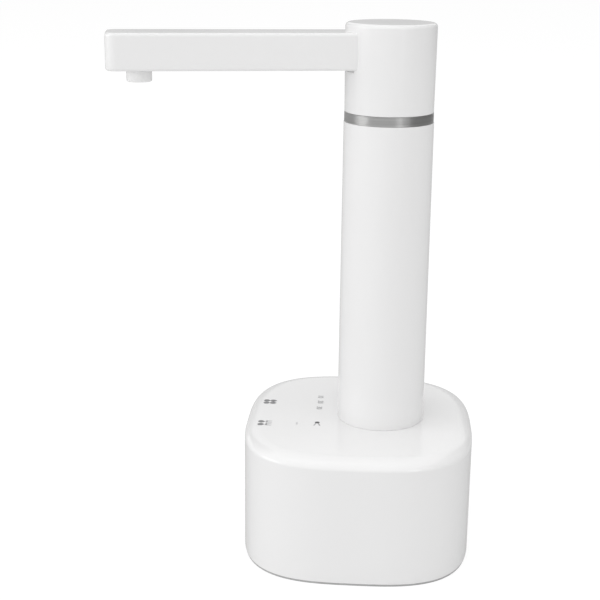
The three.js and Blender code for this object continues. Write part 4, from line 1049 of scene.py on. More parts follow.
@dataclass(frozen=True)
class PhotoCamera:
    """The camera of the photograph, found from the object's outlines in it."""

    place: Place = (9.84, -557.76, 278.05)
    pitch: float = 16.385
    yaw: float = -3.91
    roll: float = 0.59
    lens: float = 76.35
    clip: tuple[float, float] = (0.01, 100.0)

    def build(self) -> None:
        """Makes the camera and lets the scene use it."""
        pitch, yaw, roll = (math.radians(angle) for angle in (self.pitch, self.yaw, self.roll))
        flat = math.cos(pitch)
        ahead = Vector((math.sin(yaw) * flat, math.cos(yaw) * flat, -math.sin(pitch)))
        level = ahead.cross(Vector((0, 0, 1))).normalized()
        above = level.cross(ahead)
        right = math.cos(roll) * level + math.sin(roll) * above
        up = math.cos(roll) * above - math.sin(roll) * level
        data = bpy.data.cameras.new("photo_camera")
        data.lens = self.lens
        data.clip_start, data.clip_end = self.clip
        camera = add_object("photo_camera", data)
        turn = Matrix((right, up, -ahead)).transposed().to_4x4()
        camera.matrix_world = Matrix.Translation(Vector(self.place) * MM) @ turn
        bpy.context.scene.camera = camera
        bpy.context.scene.view_settings.view_transform = "Standard"


@dataclass(frozen=True)
class Lamp:
    """A soft lamp that looks at the middle of the object: a square, or a strip with a height."""

    name: str
    place: Place
    size: float
    power: float
    mirrored: bool = False
    height: float = 0.0
    aim: Place = (0.0, 0.0, 120.0)

    def build(self) -> None:
        """Makes the lamp."""
        data = bpy.data.lights.new(self.name, "AREA")
        data.shape = "RECTANGLE"
        data.size = self.size * MM
        data.size_y = (self.height or self.size) * MM
        data.energy = self.power
        lamp = add_object(self.name, data)
        lamp.location = Vector(self.place) * MM
        towards = Vector(self.aim) - Vector(self.place)
        lamp.rotation_mode = "QUATERNION"
        lamp.rotation_quaternion = towards.to_track_quat("-Z", "Y")
        lamp.visible_glossy = self.mirrored


@dataclass(frozen=True)
class Card:
    """An upright card on the set, dark or bright, that only gloss shows."""

    name: str
    rim: tuple[Point, ...]
    low: float
    high: float
    shade: float

    def build(self) -> None:
        """Makes the card, one face for each two points of its rim."""
        corners = [Vector((*point, z)) for z in (self.low, self.high) for point in self.rim]
        over = len(self.rim)
        faces = [(i, i + 1, over + i + 1, over + i) for i in range(over - 1)]
        graph = Shading(bpy.data.materials.new(self.name))
        glow = graph.node("ShaderNodeEmission", {"Strength": self.shade})
        card = Draft(corners, faces).piece(self.name)
        card.data.materials.append(graph.close(glow))
        card.visible_camera = card.visible_diffuse = False
        card.visible_shadow = card.visible_transmission = False


@dataclass(frozen=True)
class Studio:
    """A white floor, a white surround, soft lamps and cards."""

    floor_radius: float = 9000.0
    floor_sides: int = 96
    floor_albedo: float = 0.8
    seen_albedo: float = 0.22
    seen_glow: float = 0.84
    mirrored_glow: float = 0.3
    surround: float = 0.632
    card_radius: float = 3000.0
    card_half_turn: float = 35.0
    card_steps: int = 16
    card_foot: float = 1.0
    card_height: float = 950.0
    card_shade: float = 0.47
    flags: tuple[Card, ...] = (
        Card("right_dark_flag", ((1900.0, -1300.0), (1400.0, 2500.0)), 1.0, 2400.0, 0.15),
        Card("left_dark_flag", ((-2300.0, 700.0), (-1300.0, 2500.0)), 800.0, 2800.0, 0.08),
        Card("bright_strip", ((610.0, -1370.0), (850.0, -1250.0)), 150.0, 550.0, 4.2),
    )
    lamps: tuple[Lamp, ...] = (
        Lamp("side_lamp", (-1380.0, -420.0, 350.0), 900.0, 3.8, mirrored=True, height=400.0),
        Lamp("front_lamp", (0.0, -1600.0, 700.0), 1100.0, 4.1),
        Lamp("right_lamp", (1500.0, -300.0, 600.0), 1100.0, 1.25),
        Lamp("top_lamp", (180.0, -420.0, 3000.0), 2200.0, 15.5),
        Lamp("high_lamp", (-780.0, -470.0, 3200.0), 1600.0, 14.2),
    )

    def back_card(self) -> Card:
        """Describes the low grey card that bends round the back of the set.

        Returns:
            The card.
        """
        half = math.radians(self.card_half_turn)
        rim = arc(self.card_radius, QUARTER_TURN - half, 2 * half, self.card_steps)
        return Card("grey_card", tuple(rim), self.card_foot, self.card_height, self.card_shade)

    def build(self) -> None:
        """Makes the floor, the surround, the cards and the lamps."""
        self.build_floor()
        self.build_surround()
        for part in (self.back_card(), *self.flags, *self.lamps):
            part.build()

    def build_floor(self) -> None:
        """Makes a floor that looks white, lights the object as paper does and keeps a shadow."""
        graph = Shading(bpy.data.materials.new("paper_floor"))
        plain, seen = (
            graph.node("ShaderNodeBsdfDiffuse", {"Color": tone(WHITE, albedo)}).outputs[0]
            for albedo in (self.floor_albedo, self.seen_albedo)
        )
        # Rays that see the floor meet the glow, and all others plain paper.
        every, mirrored = graph.seen_rays()
        strength = graph.ranged(mirrored, self.seen_glow, self.mirrored_glow, 0.0, 1.0)
        glow = graph.node("ShaderNodeEmission", {"Strength": strength}).outputs[0]
        both = graph.node("ShaderNodeAddShader", {0: seen, 1: glow}).outputs[0]
        rim = [Vector((*point, 0.0)) for point in circle(self.floor_radius, self.floor_sides)]
        floor = Draft(rim, [tuple(range(self.floor_sides))]).piece("paper_floor")
        mix = graph.node("ShaderNodeMixShader", {0: every, 1: plain, 2: both})
        floor.data.materials.append(graph.close(mix))

    def build_surround(self) -> None:
        """Makes a surround that the camera sees as white and that lights the object evenly."""
        graph = Shading(bpy.data.worlds.new("white_surround"))
        every, _ = graph.seen_rays()
        strength = graph.ranged(every, self.surround, 1.0, 0.0, 1.0)
        inputs = {"Color": tone(WHITE, 1.0), "Strength": strength}
        bpy.context.scene.world = graph.close(graph.node("ShaderNodeBackground", inputs))


# Base


@dataclass(frozen=True)
class Bosses:
    """Posts of one kind that hang from the base's roof, each with a hole for a screw."""

    places: tuple[Point, ...]
    radius: float
    foot: float
    pilot_radius: float = 1.5


@dataclass(frozen=True)
class BaseHousing:
    """The moulded casing that stands on the table: a superellipse from above, open below."""

    length: float = BASE_LENGTH
    width: float = 112.8
    height: float = BASE_TOP
    squareness: float = 3.07
    foot: float = 0.9
    foot_round: float = 0.5
    edge_drop: float = 4.8
    edge_reach: float = 7.0
    wall: float = 2.4
    roof: float = 2.6
    inner_round: float = 2.6
    pulls: tuple[float, ...] = (0.12, 0.3, 0.5, 0.7, 0.86, 1.0)
    pad_inset: float = 0.3
    pad_round: float = 0.35
    pad_step: float = 2.5
    pad_step_round: float = 0.1
    pad_top: float = 1.6
    pad_top_round: float = 0.2
    pad_pulls: tuple[float, ...] = (0.25, 0.5, 0.75, 1.0)
    hole_radius: float = 16.8
    inlet_radius: float = 9.5
    socket_hole: Place = (3.9, 9.5, 1.65)
    light_places: tuple[Point, ...] = ((-18.93, 3.9), (-18.93, 11.5), (-18.93, 19.0))
    light_pocket: float = 2.0
    light_skin: float = 0.8
    bosses: tuple[Bosses, ...] = (
        Bosses(((36.49, 39.8), (36.49, -39.8), (-36.49, 39.8), (-36.49, -39.8)), 3.6, 4.0),
        Bosses(((-42.53, 23.0), (-17.53, -23.0)), 2.4, 48.25),
    )
    sides: int = 288
    foot_steps: int = 6
    edge_steps: int = 20
    inner_steps: int = 8
    pad_steps: int = 3

    def net(self, name: str, levels: Sequence[Place]) -> Object:
        """Makes a closed net whose points know their turn, inset, height and pull.

        Args:
            name: The name of the piece.
            levels: Inset, height and pull of each level, all round the section.

        Returns:
            The net, before the superellipse tree lays it.
        """
        draft = skin([circle(1.0, self.sides)] * len(levels), range(len(levels)), looped=True)
        mesh = bpy.data.meshes.new(name)
        mesh.from_pydata(draft.corners, [], draft.faces)
        turns = [FULL_TURN * i / self.sides for i in range(self.sides)]
        columns = {"turn": turns * len(levels)}
        for slot, (key, unit) in enumerate((("inset", MM), ("height", MM), ("pull", 1.0))):
            columns[key] = [level[slot] * unit for level in levels for _ in range(self.sides)]
        for key, values in columns.items():
            mesh.attributes.new(key, "FLOAT", "POINT").data.foreach_set("value", values)
        return add_object(name, mesh)

    def lay(self, piece: Object, finish: Finish, tree: NodeTree, hole: float) -> None:
        """Lays a net on the superellipse.

        Args:
            piece: The net.
            finish: The material of the piece.
            tree: The superellipse tree.
            hole: Radius of the hole that its points are pulled to.
        """
        sizes = {
            "Half Length": self.length / 2 * MM,
            "Half Width": self.width / 2 * MM,
            "Squareness": self.squareness,
            "Hole Place": COLUMN_AXIS * MM,
            "Hole Radius": hole * MM,
        }
        grow(piece, tree, finish, sizes)
        for key in ("turn", "inset", "height", "pull"):
            piece.data.attributes.remove(piece.data.attributes[key])
        clean(piece.data)

    def shell_levels(self) -> list[Place]:
        """Draws the section of the casing: outer wall, top, hole, roof's underside, inner wall.

        Returns:
            Inset, height and pull of each level.
        """
        under = self.height - self.roof
        outside = [(0.0, self.foot, self.foot_round), (0.0, self.height, 0.0)]
        foot = trace([(self.wall, self.foot, 0.0), *outside], self.foot_steps, closed=False)
        # The wall runs into the top along a quarter of an ellipse.
        edge = arc(1.0, 0.0, QUARTER_TURN, self.edge_steps)[::-1]
        top = [
            (self.edge_reach * (1 - up), self.height - self.edge_drop * (1 - out))
            for out, up in edge
        ]
        inside = [(self.wall, under, self.inner_round), (self.wall, self.foot, 0.0)]
        roof = trace([(INSIDE, under, 0.0), *inside], self.inner_steps, closed=False)
        levels = [(inset, height, 0.0) for inset, height in foot[:-1] + top]
        levels += [(self.edge_reach, self.height, pull) for pull in self.pulls]
        levels += [(roof[1][0], under, pull) for pull in reversed(self.pulls)]
        levels += [(inset, height, 0.0) for inset, height in roof[1:-1]]
        return levels

    def pad_levels(self) -> list[Place]:
        """Draws the section of the pad, which steps inwards above the foot of the casing.

        Returns:
            Inset, height and pull of each level.
        """
        corners = [
            (INSIDE, 0.0, 0.0),
            (self.pad_inset, 0.0, self.pad_round),
            (self.pad_inset, self.foot, self.pad_round),
            (self.pad_step, self.foot, self.pad_step_round),
            (self.pad_step, self.pad_top, self.pad_top_round),
            (INSIDE, self.pad_top, 0.0),
        ]
        side = trace(corners, self.pad_steps, closed=False)[1:-1]
        levels = [(side[0][0], 0.0, pull) for pull in reversed(self.pad_pulls)]
        levels += [(inset, height, 0.0) for inset, height in side]
        levels += [(side[-1][0], self.pad_top, pull) for pull in self.pad_pulls]
        return levels

    def build(self, tree: NodeTree) -> None:
        """Makes the casing and the pad under it.

        Args:
            tree: The superellipse tree.
        """
        shell = self.net("base_casing", self.shell_levels())
        self.lay(shell, GLOSS_WHITE, tree, self.hole_radius)
        work_on(shell, Way.JOIN, self.posts())
        work_on(shell, Way.CUT, self.openings())
        smooth(shell)
        settle(shell, Body.BASE, GLOSS_WHITE, "base_shell")
        pad = self.net("foot_pad", self.pad_levels())
        self.lay(pad, PAD_RUBBER, tree, 0.0)
        smooth(pad)
        settle(pad, Body.BASE, PAD_RUBBER, "base_pad")

    def posts(self) -> list[Object]:
        """Makes the posts that hang from the roof for the screws.

        Returns:
            The closed posts, which reach a little into the roof.
        """
        top = self.height - self.roof + OVERRUN
        return [
            slab(circle(kind.radius, POST_SIDES, place), kind.foot, top).piece("boss")
            for kind in self.bosses
            for place in kind.places
        ]

    def openings(self) -> list[Object]:
        """Makes the tools for the holes in the rear wall, the light pockets and the screw holes.

        Returns:
            The closed tools.
        """
        depth = self.wall + self.inner_round
        tools = []
        for name, outline, height in (
            ("inlet_hole", circle(self.inlet_radius, PORT_SIDES), INLET_HEIGHT),
            ("socket_hole", rounded_rectangle(*self.socket_hole), SOCKET_HEIGHT),
        ):
            hole = slab(outline, -depth, OVERRUN)
            tools.append(hole.placed((self.length / 2, 0.0, height), Axis.REAR).piece(name))
        under = self.height - self.roof
        for place in self.light_places:
            spot = circle(self.light_pocket, POST_SIDES, place)
            hole = slab(spot, under - OVERRUN, self.height - self.light_skin)
            tools.append(hole.piece("light_pocket"))
        for kind in self.bosses:
            for place in kind.places:
                spot = circle(kind.pilot_radius, HOLE_SIDES, place)
                tools.append(slab(spot, kind.foot - OVERRUN, under).piece("screw_hole"))
        return tools


@dataclass(frozen=True)
class TouchPanel:
    """The grey printing on the base's top: two keys, three numbered lights, a sign and a dot."""

    top: float = BASE_TOP
    thickness: float = 0.03
    sunk: float = 0.01
    left_drops: tuple[Point, ...] = ((-44.6, 13.5), (-41.5, 13.5), (-44.6, 10.6), (-41.5, 10.6))
    right_drops: tuple[Point, ...] = ((-44.7, -13.5), (-44.7, -16.9))
    drop_radius: float = 1.38
    drop_reach: float = 1.9
    drop_opening: float = 50.0
    drop_steps: int = 18
    cup_places: tuple[Point, ...] = ((-41.1, -13.5), (-41.1, -16.9))
    cup_strokes: tuple[Stroke, ...] = (
        ((-0.9, -0.8), (1.0, -0.9)),
        ((-0.9, 0.8), (1.0, 0.9)),
        ((-1.1, -0.6), (-1.1, 0.6)),
    )
    cup_weight: float = 0.9
    dot_place: Point = (-18.9, -12.5)
    dot_radius: float = 1.1
    leg_places: tuple[Point, ...] = ((-18.9, -14.7),)
    leg_strokes: tuple[Stroke, ...] = (((-0.6, 1.2), (-1.3, -1.4)), ((0.6, 1.2), (1.3, -1.4)))
    leg_weight: float = 0.6
    faint_places: tuple[Point, ...] = ((-28.2, -14.5),)
    faint_strokes: tuple[Stroke, ...] = (((0.0, -0.9), (0.0, 0.9)),)
    faint_weight: float = 0.8
    numbers: tuple[str, ...] = ("10", "20", "30")
    number_places: tuple[Point, ...] = ((-19.2, 21.0), (-18.9, 13.8), (-19.1, 6.1))
    number_size: float = 3.6
    number_weight: float = 0.1
    number_half_height: float = 0.018

    def drop(self, centre: Point) -> list[Point]:
        """Draws a water drop with its tip towards the column.

        Args:
            centre: Middle of its round part.

        Returns:
            The outline.
        """
        start = math.radians(self.drop_opening)
        sweep = FULL_TURN - 2 * start
        tip = (centre[0] + self.drop_reach, centre[1])
        return [*arc(self.drop_radius, start, sweep, self.drop_steps, centre), tip]

    @staticmethod
    def strokes(
        lines: Sequence[Stroke], places: Sequence[Point], weight: float
    ) -> list[list[Point]]:
        """Draws the same strokes at each place.

        Args:
            lines: Start and end of each stroke, seen from its place.
            places: Where the strokes are drawn.
            weight: Width of the strokes.

        Returns:
            The outline of every stroke.
        """
        return [
            bar((x + start[0], y + start[1]), (x + end[0], y + end[1]), weight)
            for x, y in places
            for start, end in lines
        ]

    def build(self) -> None:
        """Prints every mark."""
        dot = circle(self.dot_radius, HOLE_SIDES, self.dot_place)
        cups = self.strokes(self.cup_strokes, self.cup_places, self.cup_weight)
        legs = self.strokes(self.leg_strokes, self.leg_places, self.leg_weight)
        faint = self.strokes(self.faint_strokes, self.faint_places, self.faint_weight)
        for name, finish, outlines in (
            ("left_key_drops", INK_GREY, [self.drop(place) for place in self.left_drops]),
            ("right_key_drops", INK_GREY, [self.drop(place) for place in self.right_drops]),
            ("right_key_cups", INK_FAINT, cups),
            ("sign_dot", INK_DARK, [dot]),
            ("sign_legs", INK_PALE, legs),
            ("faint_stroke", INK_FAINT, faint),
        ):
            draft = Draft()
            for outline in outlines:
                draft.add(slab(outline, self.top - self.sunk, self.top + self.thickness))
            settle(draft.piece(name), Body.BASE, finish)
        for light, (number, place) in enumerate(zip(self.numbers, self.number_places), start=1):
            self.print_number(f"light_number_{light}", number, place)

    def print_number(self, name: str, number: str, place: Point) -> None:
        """Prints a plain number beside its light.

        Args:
            name: The name of the piece.
            number: The number as it is printed.
            place: Its middle on the base.
        """
        curve = bpy.data.curves.new("number", "FONT")
        curve.body = number
        curve.align_x = curve.align_y = "CENTER"
        curve.size = self.number_size * MM
        curve.offset = self.number_weight * MM
        curve.extrude = self.number_half_height * MM
        text = add_object("number_text", curve)
        mesh = mesh_of(text)
        bpy.data.objects.remove(text)
        clean(mesh)
        centre = Vector((*place, self.top + self.sunk)) * MM
        mesh.transform(Matrix.Translation(centre) @ Matrix.Rotation(-QUARTER_TURN, 4, "Z"))
        settle(add_object(name, mesh), Body.BASE, INK_PALE)


@dataclass(frozen=True)
class RearPorts:
    """The sunk water inlet with its hose end, and the charging socket, both in the rear wall."""

    rear: float = BASE_LENGTH / 2
    cup_radius: float = 9.2
    cup_bore: float = 8.0
    cup_depth: float = 7.0
    cup_floor: float = 1.6
    cup_back_round: float = 0.3
    cup_floor_round: float = 0.5
    rim_round: float = 0.35
    flange_radius: float = 11.5
    flange_thickness: float = 1.2
    flange_back_round: float = 0.2
    flange_face_round: float = 0.1
    crest: float = 2.7
    core: float = 2.2
    bore: float = 1.5
    barb_length: float = 6.0
    barb_lead: float = 0.5
    root_round: float = 0.25
    crest_round: float = 0.12
    groove_round: float = 0.08
    ridges: int = 2
    steps: int = 4
    socket_back: float = 44.35
    socket_depth: float = 7.3
    socket_width: float = 8.9
    socket_thickness: float = 3.3
    socket_wall: float = 0.4
    socket_edge: float = 0.1
    socket_roundness: float = 0.98
    socket_steps: int = 10
    tongue_thickness: float = 0.8
    tongue_width: float = 6.5
    tongue_corner: float = 0.15
    tongue_reach: float = 6.7
    tongue_tip: float = 0.3
    tongue_narrowing: float = 0.4
    contacts: int = 10
    contact_pitch: float = 0.5
    contact_back: float = 2.2
    contact_size: Place = (3.2, 0.25, 0.08)
    sharp: float = 40.0

    def barb(self, root: float, way: float) -> list[Place]:
        """Draws a hose end from its root to its tip.

        Args:
            root: Place of its root along the axis.
            way: 1 if it points out, -1 if it points in.

        Returns:
            Corners with their rounds.
        """
        step = self.barb_length / self.ridges
        corners = [(self.core, root, self.root_round)]
        for ridge in range(self.ridges):
            crest = root + way * (step * ridge + self.barb_lead)
            corners.append((self.crest, crest, self.crest_round))
            corners.append((self.core, root + way * step * (ridge + 1), self.groove_round))
        corners.append((self.bore, root + way * self.barb_length, self.crest_round))
        return corners

    def build(self) -> None:
        """Makes the inlet and the socket."""
        self.build_inlet()
        self.build_socket()
        self.build_tongue()
        self.build_contacts()

    def build_inlet(self) -> None:
        """Turns the inlet cup with a hose end in it and one behind it."""
        back = -self.cup_depth - self.cup_floor
        # The flange lies against the seal.
        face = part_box("inlet_seal")[0].x / MM - self.rear
        section = [
            *reversed(self.barb(back, -1.0)),
            (self.cup_radius, back, self.cup_back_round),
            (self.cup_radius, face - self.flange_thickness, self.flange_back_round),
            (self.flange_radius, face - self.flange_thickness, self.flange_back_round),
            (self.flange_radius, face, self.flange_face_round),
            (self.cup_radius, face, self.flange_face_round),
            (self.cup_radius, 0.0, self.rim_round),
            (self.cup_bore, 0.0, self.rim_round),
            (self.cup_bore, -self.cup_depth, self.cup_floor_round),
            *self.barb(-self.cup_depth, 1.0),
        ]
        fitting = lathe(trace(section, self.steps), PORT_SIDES)
        cup = fitting.placed((self.rear, 0.0, INLET_HEIGHT), Axis.REAR).piece("inlet_cup")
        smooth(cup, self.sharp)
        settle(cup, Body.BASE, INNER_WHITE, "inlet_fitting")

    def socket_outline(self, inset: float) -> list[Point]:
        """Draws the socket's outline.

        Args:
            inset: How far it is drawn in.

        Returns:
            The outline.
        """
        height, width = self.socket_thickness - 2 * inset, self.socket_width - 2 * inset
        corner = height / 2 * self.socket_roundness
        return rounded_rectangle(height, width, corner, self.socket_steps)

    def plugged(self, name: str, levels: Sequence[tuple[list[Point], float]]) -> Object:
        """Skins outlines along the socket's axis.

        Args:
            name: The name of the piece.
            levels: Each outline and its place from the back of the socket.

        Returns:
            The smoothed piece.
        """
        place = (self.socket_back, 0.0, SOCKET_HEIGHT)
        piece = loft(levels).placed(place, Axis.REAR).piece(name)
        smooth(piece, self.sharp)
        return piece

    def build_socket(self) -> None:
        """Makes the socket's metal shell."""
        wall, edge, mouth = self.socket_wall, self.socket_edge, self.socket_depth
        section = [
            (edge, 0.0),
            (0.0, edge),
            (0.0, mouth - edge),
            (edge, mouth),
            (wall - edge, mouth),
            (wall, mouth - edge),
            (wall, wall),
        ]
        levels = [(self.socket_outline(inset), height) for inset, height in section]
        settle(self.plugged("charging_socket", levels), Body.BASE, STEEL, "usb_socket")

    def build_tongue(self) -> None:
        """Makes the tongue in the socket, thinner and narrower at its tip."""
        thickness, width, reach = self.tongue_thickness, self.tongue_width, self.tongue_reach
        body = rounded_rectangle(thickness, width, self.tongue_corner)
        tip = rounded_rectangle(thickness / 2, width - self.tongue_narrowing, self.tongue_corner)
        root = self.socket_wall - self.socket_edge
        levels = [(body, root), (body, reach - self.tongue_tip), (tip, reach)]
        settle(self.plugged("socket_tongue", levels), Body.BASE, BLACK_RUBBER)

    def build_contacts(self) -> None:
        """Lays the rows of contacts on both sides of the tongue with Geometry Nodes."""
        names = ("Length", "Width", "Thickness")
        tree = Growth("contact_row", *names)
        size = tree.vector(*(tree.take(name) for name in names))
        leaf = tree.node("GeometryNodeMeshCube", {"Size": size}).outputs[0]
        group = tree.close(tree.instances(leaf))
        half = self.tongue_thickness / 2
        middle = self.socket_back + self.tongue_reach - self.contact_back
        shifts = [self.contact_pitch * (i - (self.contacts - 1) / 2) for i in range(self.contacts)]
        rows = [
            Vector((middle, shift, SOCKET_HEIGHT + side * half)) * MM
            for shift in shifts
            for side in (-1, 1)
        ]
        mesh = bpy.data.meshes.new("socket_contacts")
        mesh.from_pydata(rows, [], [])
        piece = add_object("socket_contacts", mesh)
        sizes = {name: value * MM for name, value in zip(names, self.contact_size)}
        grow(piece, group, CONTACT_GOLD, sizes)
        settle(piece, Body.BASE, CONTACT_GOLD)


# Column, ring and turning head


@dataclass(frozen=True)
class Column:
    """The white tube that carries the head, with its spigot through the base's roof."""

    axis: float = COLUMN_AXIS
    foot: float = BASE_TOP
    top: float = RING_FOOT
    radius: float = 19.94
    top_radius: float = 19.76
    bore: float = 17.5
    floor: float = 4.0
    spigot_radius: float = 16.5
    spigot_bore: float = 13.5
    spigot_foot: float = 50.75
    spigot_round: float = 0.4
    mouth_round: float = 0.2
    seam_round: float = 0.22
    rim_round: float = 0.2
    floor_round: float = 0.5
    step_round: float = 0.3
    steps: int = 5

    def build(self) -> None:
        """Turns the tube."""
        section = [
            (self.spigot_bore, self.spigot_foot, self.mouth_round),
            (self.spigot_radius, self.spigot_foot, self.spigot_round),
            (self.spigot_radius, self.foot, 0.0),
            (self.radius, self.foot, self.seam_round),
            (self.top_radius, self.top, self.rim_round),
            (self.bore, self.top, self.rim_round),
            (self.bore, self.foot + self.floor, self.floor_round),
            (self.spigot_bore, self.foot + self.floor, self.step_round),
        ]
        turned = lathe(trace(section, self.steps), DRUM_SIDES)
        tube = turned.placed((self.axis, 0.0, 0.0)).piece("column")
        smooth(tube)
        settle(tube, Body.BASE, GLOSS_WHITE, "column_tube")


@dataclass(frozen=True)
class TrimRing:
    """The brushed dark metal ring between the column and the head."""

    axis: float = COLUMN_AXIS
    foot: float = RING_FOOT
    height: float = 4.25
    radius: float = 19.54
    bore: float = 17.5
    lip_bore: float = 19.0
    lip_height: float = 1.5
    edge_round: float = 0.22
    bore_round: float = 0.1
    steps: int = 4

    def build(self) -> None:
        """Turns the ring."""
        top, lip = self.foot + self.height, self.foot + self.lip_height
        section = [
            (self.lip_bore, self.foot, 0.0),
            (self.radius, self.foot, self.edge_round),
            (self.radius, top, self.edge_round),
            (self.bore, top, self.bore_round),
            (self.bore, lip, self.bore_round),
            (self.lip_bore, lip, 0.0),
        ]
        turned = lathe(trace(section, self.steps), DRUM_SIDES)
        ring = turned.placed((self.axis, 0.0, 0.0)).piece("metal_ring")
        smooth(ring)
        settle(ring, Body.BASE, DARK_STEEL, "trim_ring")


@dataclass(frozen=True)
class TurningHead:
    """The round head with its flat spout arm, and the plate that closes the arm from below."""

    axis: float = COLUMN_AXIS
    swivel: float = 10.6
    foot: float = 200.8
    top: float = 238.95
    foot_radius: float = 19.5
    top_radius: float = 19.82
    edge_round: float = 1.7
    seam_round: float = 0.3
    drum_steps: int = 8
    wall: float = 2.0
    ledge: float = 0.7
    ledge_height: float = 208.65
    ceiling_round: float = 0.4
    bore_steps: int = 4
    arm_foot: float = 219.4
    arm_top: float = 235.1
    arm_width: float = 22.5
    arm_reach: float = 121.8
    arm_corner: float = 4.6
    arm_corner_steps: int = 12
    arm_edge_round: float = 1.3
    arm_foot_round: float = 1.2
    arm_edge_steps: int = 6
    arm_wall: float = 2.0
    plate_thickness: float = 2.0
    plate_inset: float = 2.3
    plate_round: float = 0.25
    plate_steps: int = 3
    plate_gap: float = 0.3
    nozzle_hole: float = 5.75
    nozzle_hole_sides: int = 64
    screw_places: tuple[Point, ...] = ((-40.1, 6.3), (-95.5, -6.3))
    boss_radius: float = 1.8
    boss_overlap: float = 0.5
    pilot_radius: float = 1.1
    pilot_gap: float = 1.0
    seat_radius: float = 1.8
    seat_depth: float = 1.0

    @property
    def pose(self) -> Matrix:
        """The matrix that turns the head from straight ahead to the photograph's pose."""
        place = Matrix.Translation((self.axis, 0.0, 0.0))
        return place @ Matrix.Rotation(math.radians(self.swivel), 4, "Z")

    def posed(self, draft: Draft, name: str) -> Object:
        """Returns the piece of a draft, in the head's pose."""
        return draft.moved(self.pose).piece(name)

    def arm_outline(self, inset: float) -> list[Point]:
        """Draws the arm from above.

        Args:
            inset: How far the outline is drawn in.

        Returns:
            The outline, anticlockwise.
        """
        half, end = self.arm_width / 2 - inset, -self.arm_reach + inset
        corner = self.arm_corner - inset
        corners = [(0.0, -half, 0.0), (0.0, half, 0.0), (end, half, corner), (end, -half, corner)]
        return trace(corners, self.arm_corner_steps)

    def arm(self) -> Draft:
        """Draws the outside of the arm with its rounded edges.

        Returns:
            The closed draft.
        """
        rounds = (self.arm_foot_round, self.arm_edge_round, self.arm_edge_steps)
        section = upright(self.arm_foot, self.arm_top, *rounds)
        return loft([(self.arm_outline(inset), height) for inset, height in section])

    def drum(self) -> Draft:
        """Draws the round head, closed and solid.

        Returns:
            The closed draft.
        """
        section = [
            (0.0, self.foot, 0.0),
            (self.foot_radius, self.foot, self.seam_round),
            (self.top_radius, self.top, self.edge_round),
            (0.0, self.top, 0.0),
        ]
        return lathe(trace(section, self.drum_steps, closed=False), DRUM_SIDES)

    def bore(self) -> Draft:
        """Draws the hollow of the round head, open below and narrower above a ledge.

        Returns:
            The closed draft.
        """
        lower = self.foot_radius - self.wall
        upper = lower - self.ledge
        section = [
            (0.0, self.foot - OVERRUN, 0.0),
            (lower, self.foot - OVERRUN, 0.0),
            (lower, self.ledge_height, 0.0),
            (upper, self.ledge_height, 0.0),
            (upper, self.top - self.wall, self.ceiling_round),
            (0.0, self.top - self.wall, 0.0),
        ]
        return lathe(trace(section, self.bore_steps, closed=False), DRUM_SIDES)

    def build(self) -> None:
        """Makes the head and the plate."""
        self.build_shell()
        self.build_plate()

    def build_shell(self) -> None:
        """Joins the drum and the arm, hollows both and adds the posts for the plate's screws."""
        shell = self.posed(self.drum(), "head_casing")
        work_on(shell, Way.JOIN, [self.posed(self.arm(), "arm")])
        plate_top, ceiling = self.arm_foot + self.plate_thickness, self.arm_top - self.arm_wall
        channel = slab(self.arm_outline(self.arm_wall), self.arm_foot - OVERRUN, ceiling)
        hollow = self.posed(channel, "channel")
        # The guard keeps the drum's wall where the plate meets it.
        rim = circle(self.foot_radius - self.plate_gap, DRUM_SIDES)
        guard = slab(rim, self.arm_foot - 2 * OVERRUN, plate_top)
        work_on(hollow, Way.CUT, [self.posed(guard, "guard")])
        work_on(shell, Way.CUT, [self.posed(self.bore(), "bore"), hollow])
        posts, holes = [], []
        for place in self.screw_places:
            spot = circle(self.boss_radius, POST_SIDES, place)
            posts.append(self.posed(slab(spot, plate_top, ceiling + self.boss_overlap), "post"))
            spot = circle(self.pilot_radius, HOLE_SIDES, place)
            hole = slab(spot, plate_top - OVERRUN, ceiling - self.pilot_gap)
            holes.append(self.posed(hole, "screw_hole"))
        work_on(shell, Way.JOIN, posts)
        work_on(shell, Way.CUT, holes)
        smooth(shell)
        settle(shell, Body.HEAD, GLOSS_WHITE, "head_shell")

    def build_plate(self) -> None:
        """Makes the plate with its hollow root, nozzle hole and screw seats."""
        top = self.arm_foot + self.plate_thickness
        section = upright(self.arm_foot, top, self.plate_round, 0.0, self.plate_steps)
        levels = [(self.arm_outline(self.plate_inset + inset), height) for inset, height in section]
        plate = self.posed(loft(levels), "arm_plate")
        low, high = self.arm_foot - OVERRUN, top + OVERRUN
        # The drum widens upwards: this is its radius at the top of the plate.
        share = (top - self.foot) / (self.top - self.foot)
        drum = self.foot_radius + share * (self.top_radius - self.foot_radius)
        mouth = circle(self.nozzle_hole, self.nozzle_hole_sides, (-NOZZLE_REACH, 0.0))
        tools = [slab(circle(drum + self.plate_gap, DRUM_SIDES), low, high), slab(mouth, low, high)]
        for place in self.screw_places:
            tools.append(slab(circle(self.pilot_radius, HOLE_SIDES, place), low, high))
            seat = circle(self.seat_radius, POST_SIDES, place)
            tools.append(slab(seat, low, self.arm_foot + self.seat_depth))
        work_on(plate, Way.CUT, [self.posed(tool, "tool") for tool in tools])
        smooth(plate)
        settle(plate, Body.HEAD, GLOSS_WHITE, "spout_cover")


